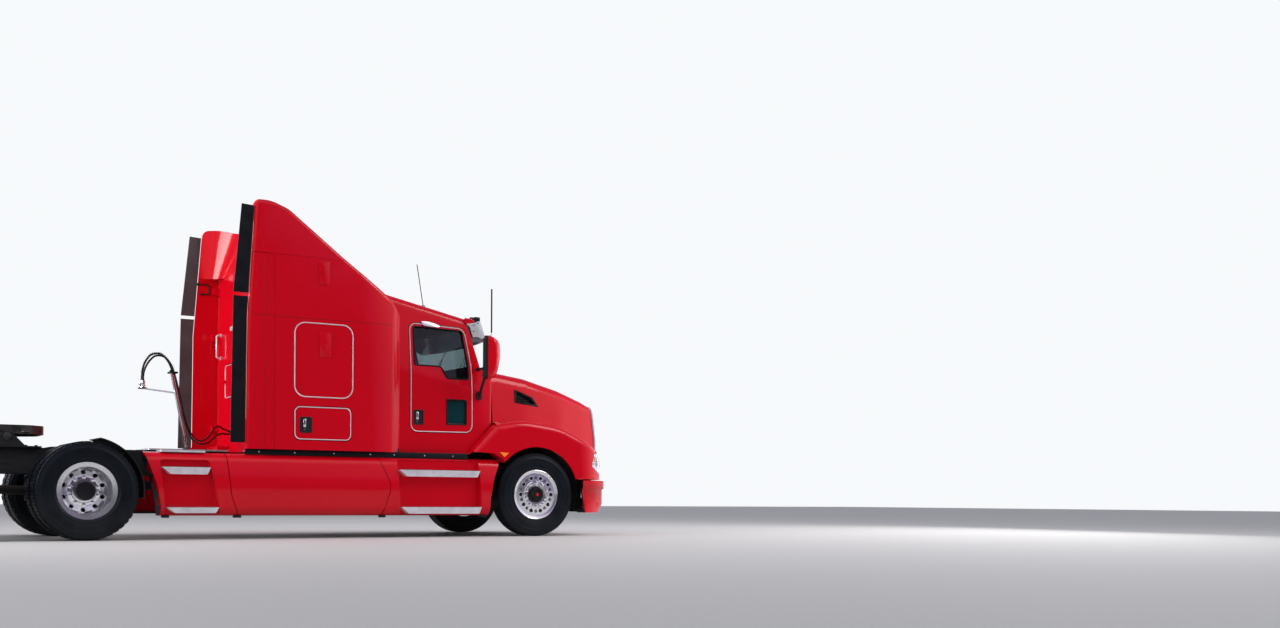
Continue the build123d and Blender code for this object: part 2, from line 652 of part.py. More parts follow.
def sleeper_form(inset):
    """Sleeper, roof fairing and side extenders as one form."""
    side = side_prism(shrunk(outline(SLEEPER_SIDE), inset), -WIDE, WIDE)
    plan = both_halves_x([(EXTENDER_X - 100, SLEEPER_HALF + 5, 0), (SLEEPER_FRONT_X, SLEEPER_HALF + 5, 170)])
    return side & front_prism(sleeper_front(inset), -1000, 1500) & plan_prism(shrunk(plan, inset), 900, 3900)


def rounded_sleeper_form():
    form = sleeper_form(0)
    tops = [
        e for e in form.edges()
        if abs(e.center().Y) > 1100 and e.center().Z > 2460 and abs((e % 0.5).Y) < 0.2 and e.center().X > -560
        and e.length > 20
    ]
    return fillet(tops, 50)


LUGGAGE_ROWS = ((-85, 1091, 70), (586, 1091, 70), (586, 1477, 70), (-85, 1477, 70))
BACK_HATCH = ((330, 1650, 50), (820, 1650, 50), (820, 2070, 50), (330, 2070, 50))


def sleeper_parts():
    form, core = rounded_sleeper_form(), sleeper_form(WALL)
    box = block((SLEEPER_BACK_X, 1400), (-WIDE, WIDE), (900, ROOF_SEAM_Z))
    room = block((SLEEPER_BACK_X + WALL, 1400), (-WIDE, WIDE), (900, ROOF_SEAM_Z - WALL))
    shell = (form & box) - (core & room)
    passage = front_prism(both_halves([(860, 1080, 60), (860, 2440, 120)]), 1000, 1400)
    shell -= passage
    split = SLEEPER_HALF - WALL - 8
    side_zone = block((-700, 1400), (split, WIDE), (900, 3300))
    middle = shell & block((-700, 1400), (-split, split), (900, 3300))
    back_zone = block((-700, SLEEPER_BACK_X + WALL), (-split, split), (900, 3300))
    floor_zone = block((SLEEPER_BACK_X + WALL, 1400), (-split, split), (900, BODY_BOTTOM + WALL))

    luggage = side_prism(outline(LUGGAGE_ROWS), split, WIDE)
    luggage_door = ((form & box) - core) & side_prism(shrunk(outline(LUGGAGE_ROWS), GAP), split, WIDE)
    latch = block((-4, 112), (SLEEPER_HALF - 16, WIDE), (1187, 1342))
    luggage_door -= latch
    luggage_door += block((25, 83), (SLEEPER_HALF - 16, SLEEPER_HALF - 2), (1205, 1324))

    hatch_hole = front_prism(outline(BACK_HATCH), -700, SLEEPER_BACK_X + WALL + 10)
    hatch = front_prism(shrunk(outline(BACK_HATCH), GAP), SLEEPER_BACK_X, SLEEPER_BACK_X + WALL)
    hatch += along_x(SLEEPER_BACK_X - 34, SLEEPER_BACK_X + 5, 775, 1860, 22)
    return {
        "sleeper_sides": pair((shell & side_zone) - luggage),
        "sleeper_back": (middle & back_zone) - hatch_hole,
        "sleeper_floor": middle & floor_zone,
        "sleeper_roof": middle - back_zone - floor_zone,
        "luggage_door_left": luggage_door,
        "back_hatch": hatch,
        "roof_fairing": roof_fairing(form),
        "side_extenders": side_extenders(form),
    }


SCOOP_SECTIONS = (
    # z, deepest x, half width, corner radius of the hollow's plan
    (ROOF_SEAM_Z - 35, -315, 1099, 250), (3740, -56, 1130, 800),
)


def scoop(inset):
    """The fairing's hollow back as a loft, wide and square at its foot, round at its top."""
    return loft([
        Plane.XY.offset(z) * both_halves_x([(-1500, half + inset, 0), (x + inset, half + inset, r + inset)])
        for z, x, half, r in SCOOP_SECTIONS
    ], ruled=True)


def roof_fairing(form):
    """Hollow fairing over the sleeper, scooped out behind, with a flange that laps the extenders."""
    foot = ROOF_SEAM_Z + 3
    outer = (form & block((-700, 1400), (-WIDE, WIDE), (foot, 3900))) - scoop(0)
    room = block((-700, -250), (-WIDE, WIDE), (foot + SKIN, 3900)) + block((-250, 1400), (-WIDE, WIDE), (3000, 3900))
    shell = outer - ((sleeper_form(SKIN) - scoop(SKIN)) & room)
    zone = block((-700, SLEEPER_BACK_X - 5), (-WIDE, WIDE), (3100, 3170)) & form
    flange = (zone & front_prism(sleeper_front(35), -700, 0)) - front_prism(sleeper_front(47), -700, 0)
    return shell + flange


def side_extenders(form):
    """Upright panels that carry the sleeper's sides backwards, each on three brackets."""
    panel = form & block((-700, SLEEPER_BACK_X - 3), (SLEEPER_HALF - 80, WIDE), (BODY_BOTTOM, ROOF_SEAM_Z - 3))
    panel -= front_prism(sleeper_front(34), -1000, 0)
    for z in (1300, 2420, 2990):
        panel += block((-390, SLEEPER_BACK_X), (1075, SLEEPER_HALF - 25), (z - 45, z + 45)) & front_prism(
            sleeper_front(20), -1000, 0
        )
    return pair(panel)


FLAPS = (
    # corners of the upper and of the lower flap; the extender's rear edge trims them
    ((-560, 2680, 0), (-480, 3640, 0), (-656, 3650, 0), (-750, 2680, 0)),
    ((-560, 2640, 0), (-750, 2640, 0), (-776, 1050, 0), (-560, 1050, 0)),
)


def extender_flaps():
    """Rubber flaps behind the extenders, each in an upper and a lower piece."""
    sheet = front_prism(sleeper_front(10), -1000, 0) - front_prism(sleeper_front(22), -1000, 0)
    sheet = (sheet & block((-1000, 0), (900, WIDE), (900, 3800))) - sleeper_form(0)
    return [s for rows in FLAPS for s in pair(sheet & side_prism(outline(rows), 900, WIDE))]


# Panels along the frame

FAIRING_SECTION = (
    # y, z, corner radius
    (930, FAIRING_TOP, 0), (1150, FAIRING_TOP, 120), (FAIRING_HALF, 600, 900), (1180, FAIRING_BOTTOM, 120),
    (930, FAIRING_BOTTOM, 0),
)
def fairing_form(inset, x_low, x_high):
    section = shrunk(outline(FAIRING_SECTION), inset)
    return front_prism(section, x_low, x_high)


def hollow_fairing(side_rows, recess_rows, ribs_x):
    """Moulded panel: section cut to its side outline, stepped in at the treads, on two ribs."""
    thick, depth = 24, 92
    face = outline(side_rows)
    outer = fairing_form(0, -1800, 2700) & side_prism(face, 0, WIDE)
    room = fairing_form(thick, -1800, 2700) & side_prism(shrunk(face, thick), 0, WIDE)
    room += Pos(0, -60, 0) * room
    body = outer
    if recess_rows:
        recess = outline(recess_rows)
        wall_y = FAIRING_HALF - depth
        body -= side_prism(recess, wall_y, WIDE)
        room -= side_prism(offset(recess, amount=thick, kind=Kind.INTERSECTION), wall_y - thick, WIDE)
    shell = body - room
    for x in ribs_x:
        rib = block((x - 5, x + 5), (RAIL_Y, FAIRING_HALF - depth - thick + 4), (RAIL_BOTTOM + 10, FAIRING_TOP - 20))
        shell += rib
    return shell


REAR_SIDE = (
    (-1498, FAIRING_BOTTOM, 0), (-1500, 371, 100), (-1541, 574, 200), (-1602, 751, 200), (-1664, FAIRING_TOP, 0),
    (-1664, 1000, 0), (-820, 1000, 0), (-820, FAIRING_TOP, 0), (-773, 473, 300), (-686, FAIRING_BOTTOM, 0),
)
FRONT_SIDE = (
    (958, FAIRING_BOTTOM, 0), (1068, 600, 260), (913, FAIRING_TOP, 0), (913, 1000, 0), (2300, 1000, 0),
    (2462, 915, 60), (2365, 690, 300), (2322, 470, 200), (2318, FAIRING_BOTTOM, 0),
)
REAR_RECESS = ((-1450, 275, 30), (-880, 275, 30), (-1000, 850, 40), (-1512, 850, 40))
FRONT_RECESS = ((1176, 275, 30), (2206, 275, 30), (2172, 900, 40), (1136, 900, 40))


TANK_SIDE = (
    (-678, FAIRING_BOTTOM, 0), (-765, 473, 300), (-812, FAIRING_TOP, 0), (-812, 1000, 0), (905, 1000, 0),
    (905, FAIRING_TOP, 0), (1060, 600, 260), (950, FAIRING_BOTTOM, 0),
)


def side_fairings():
    tank = hollow_fairing(TANK_SIDE, None, (-745, 940))
    rear = hollow_fairing(REAR_SIDE, REAR_RECESS, (-1450, -900))
    front = hollow_fairing(FRONT_SIDE, FRONT_RECESS, (1130, 2240))
    return pair(tank) + pair(rear) + pair(front)


TREADS = (
    # rear x, front x at the tread's top, top z, height
    (1150, 2170, 784, 76), (1178, 2194, 352, 76), (-1496, -994, 771, 76), (-1450, -904, 343, 60),
)


def tread_plates():
    """Aluminium step treads, the top step and the deck over the frame."""
    parts = []
    for rear, front, top, height in TREADS:
        edge = outline([(rear, top, 0), (front, top, 0), (front - 34, top - height, 20), (rear + 90, top - height, 20)])
        parts += pair(side_prism(edge, FAIRING_HALF - 92, FAIRING_HALF + 8))
    top_step = block((-1495, -1028), (920, 1130), (FAIRING_TOP, FAIRING_TOP + 22))
    parts += pair(fillet(top_step.edges().filter_by(Axis.Z), 20))
    deck = block((-1500, -620), (-560, 560), (RAIL_TOP, RAIL_TOP + 18))
    parts.append(fillet(deck.edges().filter_by(Axis.Z), 30))
    return parts


def fuel_tanks():
    """Round tanks behind the side fairings, each hung from the rail on two brackets."""
    tank = along_x(-660, 900, 760, 600, 285)
    tank = fillet(tank.edges().filter_by(GeomType.CIRCLE), 40)
    for x in (-420, 660):
        tank += block((x - 35, x + 35), (RAIL_Y, 700), (RAIL_BOTTOM, RAIL_TOP - 30))
    return pair(tank)


def mud_guards():
    """Quarter guards ahead of the drive wheels and flaps behind them, on bars from the frame."""
    x = DRIVE_AXLES_X["front"]
    guard = along_y(x, AXLE_Z, 560, 620, 1228) - along_y(x, AXLE_Z, 552, 600, 1300)
    guard &= block((x, x + 700), (600, 1300), (430, 1080))
    guard &= side_prism(outline([(x, AXLE_Z, 0), (x + 900, 400, 0), (x + 900, 2000, 0), (x + 320, 2000, 0)]), 600, 1300)
    arm = along_y(x + 400, AXLE_Z + 386, 16, RAIL_Y, 1000)
    bar = along_y(REAR_X + 42, 915, 18, RAIL_Y, 1225)
    flap = block((REAR_X + 36, REAR_X + 48), (640, 1228), (290, 912))
    return pair(guard + arm) + pair(bar + flap)


def tail_lamps():
    """Lamp bar under the frame's end with three round lamps a side."""
    bar = block((REAR_X + 14, REAR_X + 40), (-560, 560), (RAIL_BOTTOM - 125, RAIL_BOTTOM))
    for y in (-490, -370, -250, 250, 370, 490):
        bar += along_x(REAR_X, REAR_X + 20, y, RAIL_BOTTOM - 62, 50)
    return bar


# Fifth wheel

PIVOT_LUG_Y = 395


def fifth_wheel_mount():
    """Two stands on the frame with a pin each."""
    x, z = FIFTH_WHEEL_X, FIFTH_WHEEL_PIN_Z
    base = block((x - 330, x + 330), (RAIL_Y - 80, RAIL_Y + 70), (RAIL_TOP, RAIL_TOP + 14))
    stand = side_prism(outline([
        (x - 190, RAIL_TOP, 0), (x + 190, RAIL_TOP, 0), (x + 45, z + 45, 40), (x - 45, z + 45, 40),
    ]), RAIL_Y + 8, RAIL_Y + 48)
    pin = along_y(x, z, 28, PIVOT_LUG_Y - 30, RAIL_Y + 55)
    bridge = block((x - 60, x + 60), (-RAIL_Y, 0), (RAIL_TOP, RAIL_TOP + 14))
    half = base + stand + pin + mirror(bridge, about=Plane.XZ)
    return half + right_of(half)


def fifth_wheel_plate():
    """Coupling plate with its V throat, closed jaws round the kingpin bore, skirt and pivot lugs."""
    x, top = FIFTH_WHEEL_X, FIFTH_WHEEL_TOP
    plan = both_halves_x([
        (x - 470, 250, 40), (x - 330, 330, 60), (x - 60, 425, 120), (x + 230, 425, 160), (x + 390, 260, 160),
    ])
    plate = plan_prism(plan, top - 42, top)
    skirt = plan_prism(plan, top - 92, top - 42) - plan_prism(shrunk(plan, 26), top - 100, top - 42)
    plate += skirt
    throat = both_halves_x([(x - 600, 210, 0), (x - 300, 105, 30), (x - 90, 60, 0), (x - 75, 60, 0)])
    plate -= plan_prism(throat, top - 120, top + 10)
    plate += along_z(x, 0, top - 100, top - 42, 78)
    plate -= along_z(x, 0, top - 120, top + 10, 25.8)
    for side in (-1, 1):
        y = (side * PIVOT_LUG_Y - 22, side * PIVOT_LUG_Y + 22)
        lug = side_prism(outline([
            (x - 75, top - 60, 0), (x + 75, top - 60, 0), (x + 48, FIFTH_WHEEL_PIN_Z - 48, 40),
            (x - 48, FIFTH_WHEEL_PIN_Z - 48, 40),
        ]), *y)
        plate += lug - along_y(x, FIFTH_WHEEL_PIN_Z, 28 + FIT, y[0] - 10, y[1] + 10)
    return plate


# Behind the sleeper: pogo stick and lines

POGO_FOOT = (-1080, -540, RAIL_TOP + 18)
POGO_TOP = (-1255, -540, 1850)
LINE_R = 10
SOCKET_X = SLEEPER_BACK_X - 40
PARK_Z = 1640
LINE_ROUTES = {
    # from the socket on the sleeper's back wall, sagging, up the stick, over its top to the parked end
    "air_line": (
        (SOCKET_X, 400, 1235), (-420, 396, 1256), (-512, 305, 1300), (-595, 175, 1268), (-678, 40, 1172),
        (-775, -85, 1102), (-880, -220, 1088), (-978, -352, 1136), (-1062, -452, 1245), (-1122, -500, 1400),
        (-1168, -506, 1585), (-1212, -506, 1765), (-1262, -507, 1925), (-1350, -510, 2032), (-1462, -510, 2020),
        (-1532, -507, 1918), (-1558, -506, 1802), (-1558, -506, PARK_Z + 75),
    ),
    "power_line": (
        (SOCKET_X, 330, 1200), (-425, 327, 1206), (-520, 236, 1204), (-612, 110, 1152), (-702, -20, 1088),
        (-808, -142, 1052), (-918, -282, 1060), (-1010, -412, 1118), (-1076, -518, 1222), (-1124, -566, 1370),
        (-1164, -575, 1552), (-1208, -574, 1736), (-1252, -574, 1892), (-1326, -572, 1992), (-1430, -571, 2002),
        (-1506, -573, 1920), (-1558, -574, 1806), (-1558, -574, PARK_Z + 75),
    ),
}


def line_corner_radii(points):
    """Radius of the arc at each corner: as large as the two runs beside it allow."""
    runs = [Vector(*b) - Vector(*a) for a, b in zip(points, points[1:])]
    return [
        0.45 * min(one.length, two.length) / tan(radians(one.get_angle(two) / 2))
        for one, two in zip(runs, runs[1:])
    ]


def flexible_line(name):
    """Flexible line along its route, as straight runs joined by tangent arcs."""
    points = LINE_ROUTES[name]
    radii = line_corner_radii(points)
    path = FilletPolyline(*points, radius=radii)
    tube = sweep(Plane(path @ 0, z_dir=path % 0) * Circle(LINE_R), path=path)
    print(name, "length", round(path.length), "radii", [round(r) for r in radii])
    print(name, "volume over section times length", round(tube.volume / (pi * LINE_R**2 * path.length), 4))
    return tube


def line_fittings():
    """Sockets on the sleeper's back wall, and the lines' end fittings parked on their bracket."""
    parts = []
    for route in LINE_ROUTES.values():
        _, y, z = route[0]
        parts.append(along_x(SOCKET_X, SLEEPER_BACK_X, y, z, 20))
        x, y, _ = route[-1]
        body = along_z(x, y, PARK_Z, PARK_Z + 75, 22)
        parts.append(body + block((x - 34, x + 6), (y - 16, y + 16), (PARK_Z + 14, PARK_Z + 48)))
    return parts


def pogo_stick():
    """Leaning stick on the deck with a guide for the two lines at its top and their parking bracket."""
    foot = Pos(POGO_FOOT[0], POGO_FOOT[1], POGO_FOOT[2] + 8) * Cylinder(48, 16)
    stick = rod(POGO_FOOT, POGO_TOP, 17)
    stick &= block((-1600, -900), (-700, -300), (POGO_FOOT[2] + 2, 1900))
    guide = block((POGO_TOP[0] - 26, POGO_TOP[0] + 60), (POGO_TOP[1] - 62, POGO_TOP[1] + 62), (1812, 1830))
    park_x = LINE_ROUTES["air_line"][-1][0]
    bracket = block((park_x - 36, park_x + 36), (POGO_TOP[1] - 64, POGO_TOP[1] + 64), (PARK_Z - 10, PARK_Z))
    arm = rod((-1205, POGO_FOOT[1], PARK_Z - 40), (park_x, POGO_FOOT[1], PARK_Z - 6), 10)
    whole = foot + stick + guide + bracket + (arm - block((-1700, -1100), (-700, -300), (PARK_Z - 1, 1800)))
    for y in (-506, -574):
        whole -= Pos(-1230, y, 1821) * Rot(0, -16, 0) * Cylinder(LINE_R + 5, 60)
    return whole


# Inside the cab

def seats():
    """Two seats on pedestals and the bunk behind them."""
    parts = []
    for y in (-500, 500):
        base = block((1520, 1840), (y - 170, y + 170), (BODY_BOTTOM + WALL, 1400))
        cushion = fillet(block((1430, 1940), (y - 255, y + 255), (1400, 1530)).edges(), 35)
        back = side_prism(outline([
            (1470, 1500, 20), (1340, 2180, 40), (1450, 2200, 40), (1590, 1520, 20),
        ]), y - 245, y + 245)
        head = fillet(block((1330, 1430), (y - 130, y + 130), (2170, 2340)).edges(), 30)
        parts.append(base + cushion + back + head)
    half = SLEEPER_HALF - WALL - 8
    parts.append(fillet(block((-240, 560), (-half + 4, half - 4), (1520, 1700)).edges().filter_by(Axis.Y), 40))
    return parts


def dashboard():
    """Dashboard across the cab with the steering column and wheel on the left."""
    half = 960
    dash = side_prism(outline([
        (2110, 1560, 40), (2060, 1800, 60), (2160, 1960, 60), (2372, 1975, 0), (2372, 1400, 0), (2260, 1400, 0),
    ]), -half, half)
    dash &= cab_form(WALL + 3)
    column = rod((2180, 500, 1650), (1990, 500, 1760), 34)
    wheel = Plane(origin=(1985, 500, 1763), z_dir=(-0.866, 0, 0.5)) * Torus(222, 15)
    spokes = Plane(origin=(1985, 500, 1763), z_dir=(-0.866, 0, 0.5)) * (Box(440, 34, 12) + Cylinder(58, 22))
    return dash + column + wheel + spokes


def antennas():
    """Rod on the right mirror and a thin whip on the roof."""
    whip = rod((1690, -600, 2770), (1606, -600, 3280), 5)
    whip += Pos(1689, -600, 2765) * Cylinder(22, 50)
    roof = cab_loft(0)
    return [*rod((2300, -1230, 2388), (2300, -1230, 2962), 9).solids(), *(whip - roof).solids()]


def main():
    os.makedirs("parts", exist_ok=True)
    write("frame_rails", frame_rails())
    write("crossmembers", crossmembers())
    write("front_axle", front_axle())
    write("knuckle_left", knuckle())
    write("knuckle_right", right_of(knuckle()))
    write("tie_rod", tie_rod())
    write("drive_axles", drive_axles())
    write("engine", engine())
    write("radiator", radiator())
    write("bumper", bumper())
    write("hood_shell", hood_shell())
    write("grille", grille())
    write("headlamps", headlamps())

    cab, sleeper = cab_parts(), sleeper_parts()
    write("cab_floor", cab.pop("cab_floor") + sleeper.pop("sleeper_floor"))
    for name, shape in [*cab.items(), *sleeper.items()]:
        write(name, shape)
    for name in ("door", "door_glass"):
        write(f"{name}_right", right_of(cab[f"{name}_left"]))
    write("visor", visor())
    arm = mirror_arm()
    write("mirror_arms", pair(arm - cab_form(0)))
    write("mirror_shells", pair(mirror_head() - arm))

    write("luggage_door_right", right_of(sleeper["luggage_door_left"]))
    write("extender_flaps", extender_flaps())

    write("side_fairings", side_fairings())
    write("tread_plates", tread_plates())
    write("fuel_tanks", fuel_tanks())
    write("mud_guards", mud_guards())
    write("tail_lamps", tail_lamps())
    write("fifth_wheel_mount", fifth_wheel_mount())
    write("fifth_wheel_plate", fifth_wheel_plate())
    write("pogo_stick", pogo_stick())
    write("line_fittings", line_fittings())
    for name in LINE_ROUTES:
        write(name, flexible_line(name))
    write("seats", seats())
    write("dashboard", dashboard())
    write("antennas", antennas())

    steer, drive = steer_wheel(), drive_wheel()
    steer_tyre = tyre(STEER_TYRE_Y) - Pos(0, 0, AXLE_Z) * steer_rim()
    dual = [tyre(DUAL_Y + side * DUAL_HALF_GAP) - Pos(0, 0, AXLE_Z) * drive_rim(side) for side in (1, -1)]
    for side, turn in (("left", lambda s: s), ("right", right_of)):
        write(f"steer_wheel_{side}", turn(Pos(FRONT_AXLE_X, 0, 0) * steer))
        write(f"steer_tyre_{side}", turn(Pos(FRONT_AXLE_X, 0, 0) * steer_tyre))
        for end, x in DRIVE_AXLES_X.items():
            write(f"drive_wheels_{end}_{side}", turn(Pos(x, 0, 0) * drive))
            write(f"drive_tyres_{end}_{side}", *[turn(Pos(x, 0, 0) * t) for t in dual])


main()
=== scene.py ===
import json
import math

import bmesh
import bpy
from mathutils import Matrix, Vector
from mathutils.bvhtree import BVHTree

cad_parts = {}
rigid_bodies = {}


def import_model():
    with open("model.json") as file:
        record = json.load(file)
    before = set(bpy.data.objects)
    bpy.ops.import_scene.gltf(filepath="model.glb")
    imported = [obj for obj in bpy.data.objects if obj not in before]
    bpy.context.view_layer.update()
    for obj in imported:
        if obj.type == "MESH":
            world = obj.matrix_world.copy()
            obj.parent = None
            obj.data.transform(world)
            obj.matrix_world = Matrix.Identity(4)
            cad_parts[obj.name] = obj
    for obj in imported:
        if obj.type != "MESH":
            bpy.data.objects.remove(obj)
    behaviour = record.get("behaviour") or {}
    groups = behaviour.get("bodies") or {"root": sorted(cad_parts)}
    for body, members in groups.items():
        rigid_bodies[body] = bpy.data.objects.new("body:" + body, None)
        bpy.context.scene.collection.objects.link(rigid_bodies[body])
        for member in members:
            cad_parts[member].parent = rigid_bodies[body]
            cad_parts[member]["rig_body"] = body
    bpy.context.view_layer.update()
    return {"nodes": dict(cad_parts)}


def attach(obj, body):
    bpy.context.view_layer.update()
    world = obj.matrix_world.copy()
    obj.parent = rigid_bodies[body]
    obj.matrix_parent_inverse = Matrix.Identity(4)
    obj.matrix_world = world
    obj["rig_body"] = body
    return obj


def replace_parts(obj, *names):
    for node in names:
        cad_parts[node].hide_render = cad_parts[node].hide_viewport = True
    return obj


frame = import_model()
print("frame loaded:", len(frame["nodes"]), "nodes")

# Camera: just above the ground, level, beside and behind the truck
cameraView = dict(place=(-4.828, -15.886, 0.447), yaw=-32.235, roll=0.33, lens=38.08, shiftY=0.1455)


def makeCamera(view):
    data = bpy.data.cameras.new("camera")
    data.lens, data.sensor_width, data.shift_y = view["lens"], 36, view["shiftY"]
    camera = bpy.data.objects.new("camera", data)
    bpy.context.scene.collection.objects.link(camera)
    turn = Matrix.Rotation(math.radians(view["yaw"]), 4, "Z") @ Matrix.Rotation(math.radians(90), 4, "X")
    camera.matrix_world = (
        Matrix.Translation(view["place"]) @ turn @ Matrix.Rotation(math.radians(view["roll"]), 4, "Z")
    )
    bpy.context.scene.camera = camera


makeCamera(cameraView)


# Finishes. Each is one dictionary: base colour, its variation, roughness range, relief and dust
finishLooks = {
    "redPaint": dict(
        slot="red_paint", color=(0.66, 0.0008, 0.011), vary=0.03, grain=0.8, rough=(0.28, 0.32), coat=0.9,
        coatRough=0.02, coatIor=1.33, spec=0.06, relief="noise", reliefScale=220, reliefDepth=0.00002,
        dust=(0.34, 0.06),
    ),
    "chassisPaint": dict(
        slot="chassis_paint", color=(0.010, 0.010, 0.012), vary=0.35, grain=6, rough=(0.42, 0.68), spec=0.3,
        relief="noise", reliefScale=90, reliefDepth=0.0004, dust=(1.0, 0.10),
    ),
    "castSteel": dict(
        slot="cast_steel", color=(0.05, 0.047, 0.045), vary=0.4, grain=9, rough=(0.25, 0.6), metallic=0.6,
        relief="cast", reliefScale=60, reliefDepth=0.0012,
    ),
    "polished": dict(
        slot="polished_aluminium", color=(0.83, 0.84, 0.86), vary=0.05, grain=4, rough=(0.04, 0.10), metallic=1.0,
        relief="brush", reliefScale=60, reliefDepth=0.00006,
    ),
    "wheelAluminium": dict(
        slot="polished_aluminium", color=(0.80, 0.80, 0.84), vary=0.04, grain=4, rough=(0.14, 0.22), metallic=0.85,
        relief="brush", reliefScale=60, reliefDepth=0.00006,
    ),
    "treadAluminium": dict(
        slot="tread_aluminium", color=(0.82, 0.80, 0.83), vary=0.08, grain=12, rough=(0.30, 0.45), metallic=0.6,
        relief="diamond", reliefScale=26, reliefDepth=0.0012, dust=(1.0, 0.2),
    ),
    "brightMetal": dict(
        slot="bright_metal", color=(0.90, 0.91, 0.92), vary=0.04, grain=5, rough=(0.05, 0.14), metallic=1.0,
        relief="noise", reliefScale=30, reliefDepth=0.00005,
    ),
    "radiatorBlack": dict(
        slot="radiator_black", color=(0.018, 0.018, 0.02), vary=0.4, grain=8, rough=(0.5, 0.75),
        relief="fins", reliefScale=55, reliefDepth=0.003,
    ),
    "tyreRubber": dict(
        slot="tyre", color=(0.0015, 0.004, 0.008), vary=0.4, grain=7, rough=(0.4, 0.6), spec=0.16,
        relief="noise", reliefScale=180, reliefDepth=0.0005, dust=(0.5, 0.08),
    ),
    "darkGlass": dict(
        slot="glass", color=(0.30, 0.38, 0.38), vary=0.05, grain=2, rough=(0.0, 0.03), transmission=1.0, ior=1.45,
        relief="noise", reliefScale=1.5, reliefDepth=0.0004,
    ),
    "lampGlass": dict(
        slot="lamp_glass", color=(0.92, 0.95, 0.97), vary=0.03, grain=3, rough=(0.02, 0.06), transmission=0.9,
        ior=1.35, relief="noise", reliefScale=14, reliefDepth=0.0003,
    ),
    "blackPlastic": dict(
        slot="black_plastic", color=(0.008, 0.008, 0.010), vary=0.3, grain=10, rough=(0.42, 0.6), spec=0.3,
        relief="cast", reliefScale=260, reliefDepth=0.0002, dust=(0.8, 0.06),
    ),
    "blackRubber": dict(
        slot="black_rubber", color=(0.003, 0.004, 0.006), vary=0.3, grain=8, rough=(0.35, 0.5), spec=0.2,
        relief="noise", reliefScale=140, reliefDepth=0.0004,
    ),
    "seatFabric": dict(
        slot="seat_fabric", color=(0.10, 0.10, 0.115), vary=0.25, grain=20, rough=(0.75, 0.95), sheen=0.4,
        relief="weave", reliefScale=260, reliefDepth=0.0006,
    ),
    # Pale silver: the own colour of bright trim, and on the rubber seals round doors and hatches a painted highlight
    # for the bright lines along their edges
    "silverAndSealHighlight": dict(
        slot="bright_metal", color=(0.62, 0.63, 0.66), vary=0.08, grain=14, rough=(0.3, 0.42), metallic=0.3,
        relief="noise", reliefScale=120, reliefDepth=0.0002,
    ),
    "flapGrey": dict(
        slot="black_rubber", color=(0.055, 0.057, 0.06), vary=0.25, grain=4, rough=(0.5, 0.7),
        relief="noise", reliefScale=60, reliefDepth=0.0006,
    ),
    "mirrorGlass": dict(
        slot="bright_metal", color=(0.78, 0.81, 0.84), vary=0.03, grain=2, rough=(0.01, 0.04), metallic=1.0,
        relief="noise", reliefScale=2, reliefDepth=0.0001,
    ),
    "hubBlack": dict(
        slot="chassis_paint", color=(0.006, 0.006, 0.008), vary=0.3, grain=9, rough=(0.25, 0.4), spec=0.3,
        relief="cast", reliefScale=90, reliefDepth=0.0004,
    ),
    "amberLens": dict(
        slot="lamp_glass", color=(0.85, 0.22, 0.01), vary=0.1, grain=20, rough=(0.08, 0.16), glow=0.25,
        relief="weave", reliefScale=160, reliefDepth=0.0006,
    ),
    "redLens": dict(
        slot="lamp_glass", color=(0.50, 0.004, 0.006), vary=0.1, grain=20, rough=(0.08, 0.16), glow=0.1,
        relief="weave", reliefScale=160, reliefDepth=0.0006,
    ),
    "tealGlass": dict(
        slot="glass", color=(0.004, 0.036, 0.044), vary=0.2, grain=3, rough=(0.02, 0.06), spec=0.4,
        relief="noise", reliefScale=2, reliefDepth=0.0003,
    ),
    "hoseWrap": dict(
        slot="black_rubber", color=(0.035, 0.035, 0.045), vary=0.2, grain=12, rough=(0.3, 0.45),
        relief="noise", reliefScale=100, reliefDepth=0.0003,
    ),
    "interiorPlastic": dict(
        slot="interior_plastic", color=(0.12, 0.115, 0.11), vary=0.15, grain=10, rough=(0.5, 0.7),
        relief="cast", reliefScale=240, reliefDepth=0.0004,
    ),
}


def link(tree, fromSocket, toSocket):
    tree.links.new(fromSocket, toSocket)


def shaderNode(tree, kind, **inputs):
    node = tree.nodes.new(kind)
    for name, value in inputs.items():
        node.inputs[name.replace("_", " ")].default_value = value
    return node


def reliefHeight(tree, place, look):
    kind, scale = look["relief"], look["reliefScale"]
    if kind == "brush":
        mapping = shaderNode(tree, "ShaderNodeMapping", Scale=(1, 14, 14))
        link(tree, place, mapping.inputs["Vector"])
        noise = shaderNode(tree, "ShaderNodeTexNoise", Scale=scale, Detail=4)
        link(tree, mapping.outputs["Vector"], noise.inputs["Vector"])
        return noise.outputs["Fac"]
    if kind in ("cast", "diamond"):
        cells = shaderNode(tree, "ShaderNodeTexVoronoi", Scale=scale)
        cells.feature = "SMOOTH_F1" if kind == "cast" else "F1"
        if kind == "diamond":
            cells.distance = "MANHATTAN"
            cells.inputs["Randomness"].default_value = 0
            turn = shaderNode(tree, "ShaderNodeMapping", Rotation=(0, 0, math.radians(45)), Scale=(1, 1, 0.2))
            link(tree, place, turn.inputs["Vector"])
            place = turn.outputs["Vector"]
        link(tree, place, cells.inputs["Vector"])
        return cells.outputs["Distance"]
    if kind in ("fins", "weave"):
        first = shaderNode(tree, "ShaderNodeTexWave", Scale=scale)
        first.bands_direction = "Y"
        second = shaderNode(tree, "ShaderNodeTexWave", Scale=scale)
        second.bands_direction = "Z"
        joined = tree.nodes.new("ShaderNodeMath")
        joined.operation = "MAXIMUM" if kind == "weave" else "ADD"
        for index, wave in enumerate((first, second)):
            link(tree, place, wave.inputs["Vector"])
            link(tree, wave.outputs["Fac"], joined.inputs[index])
        return joined.outputs[0]
    noise = shaderNode(tree, "ShaderNodeTexNoise", Scale=scale, Detail=3)
    link(tree, place, noise.inputs["Vector"])
    return noise.outputs["Fac"]


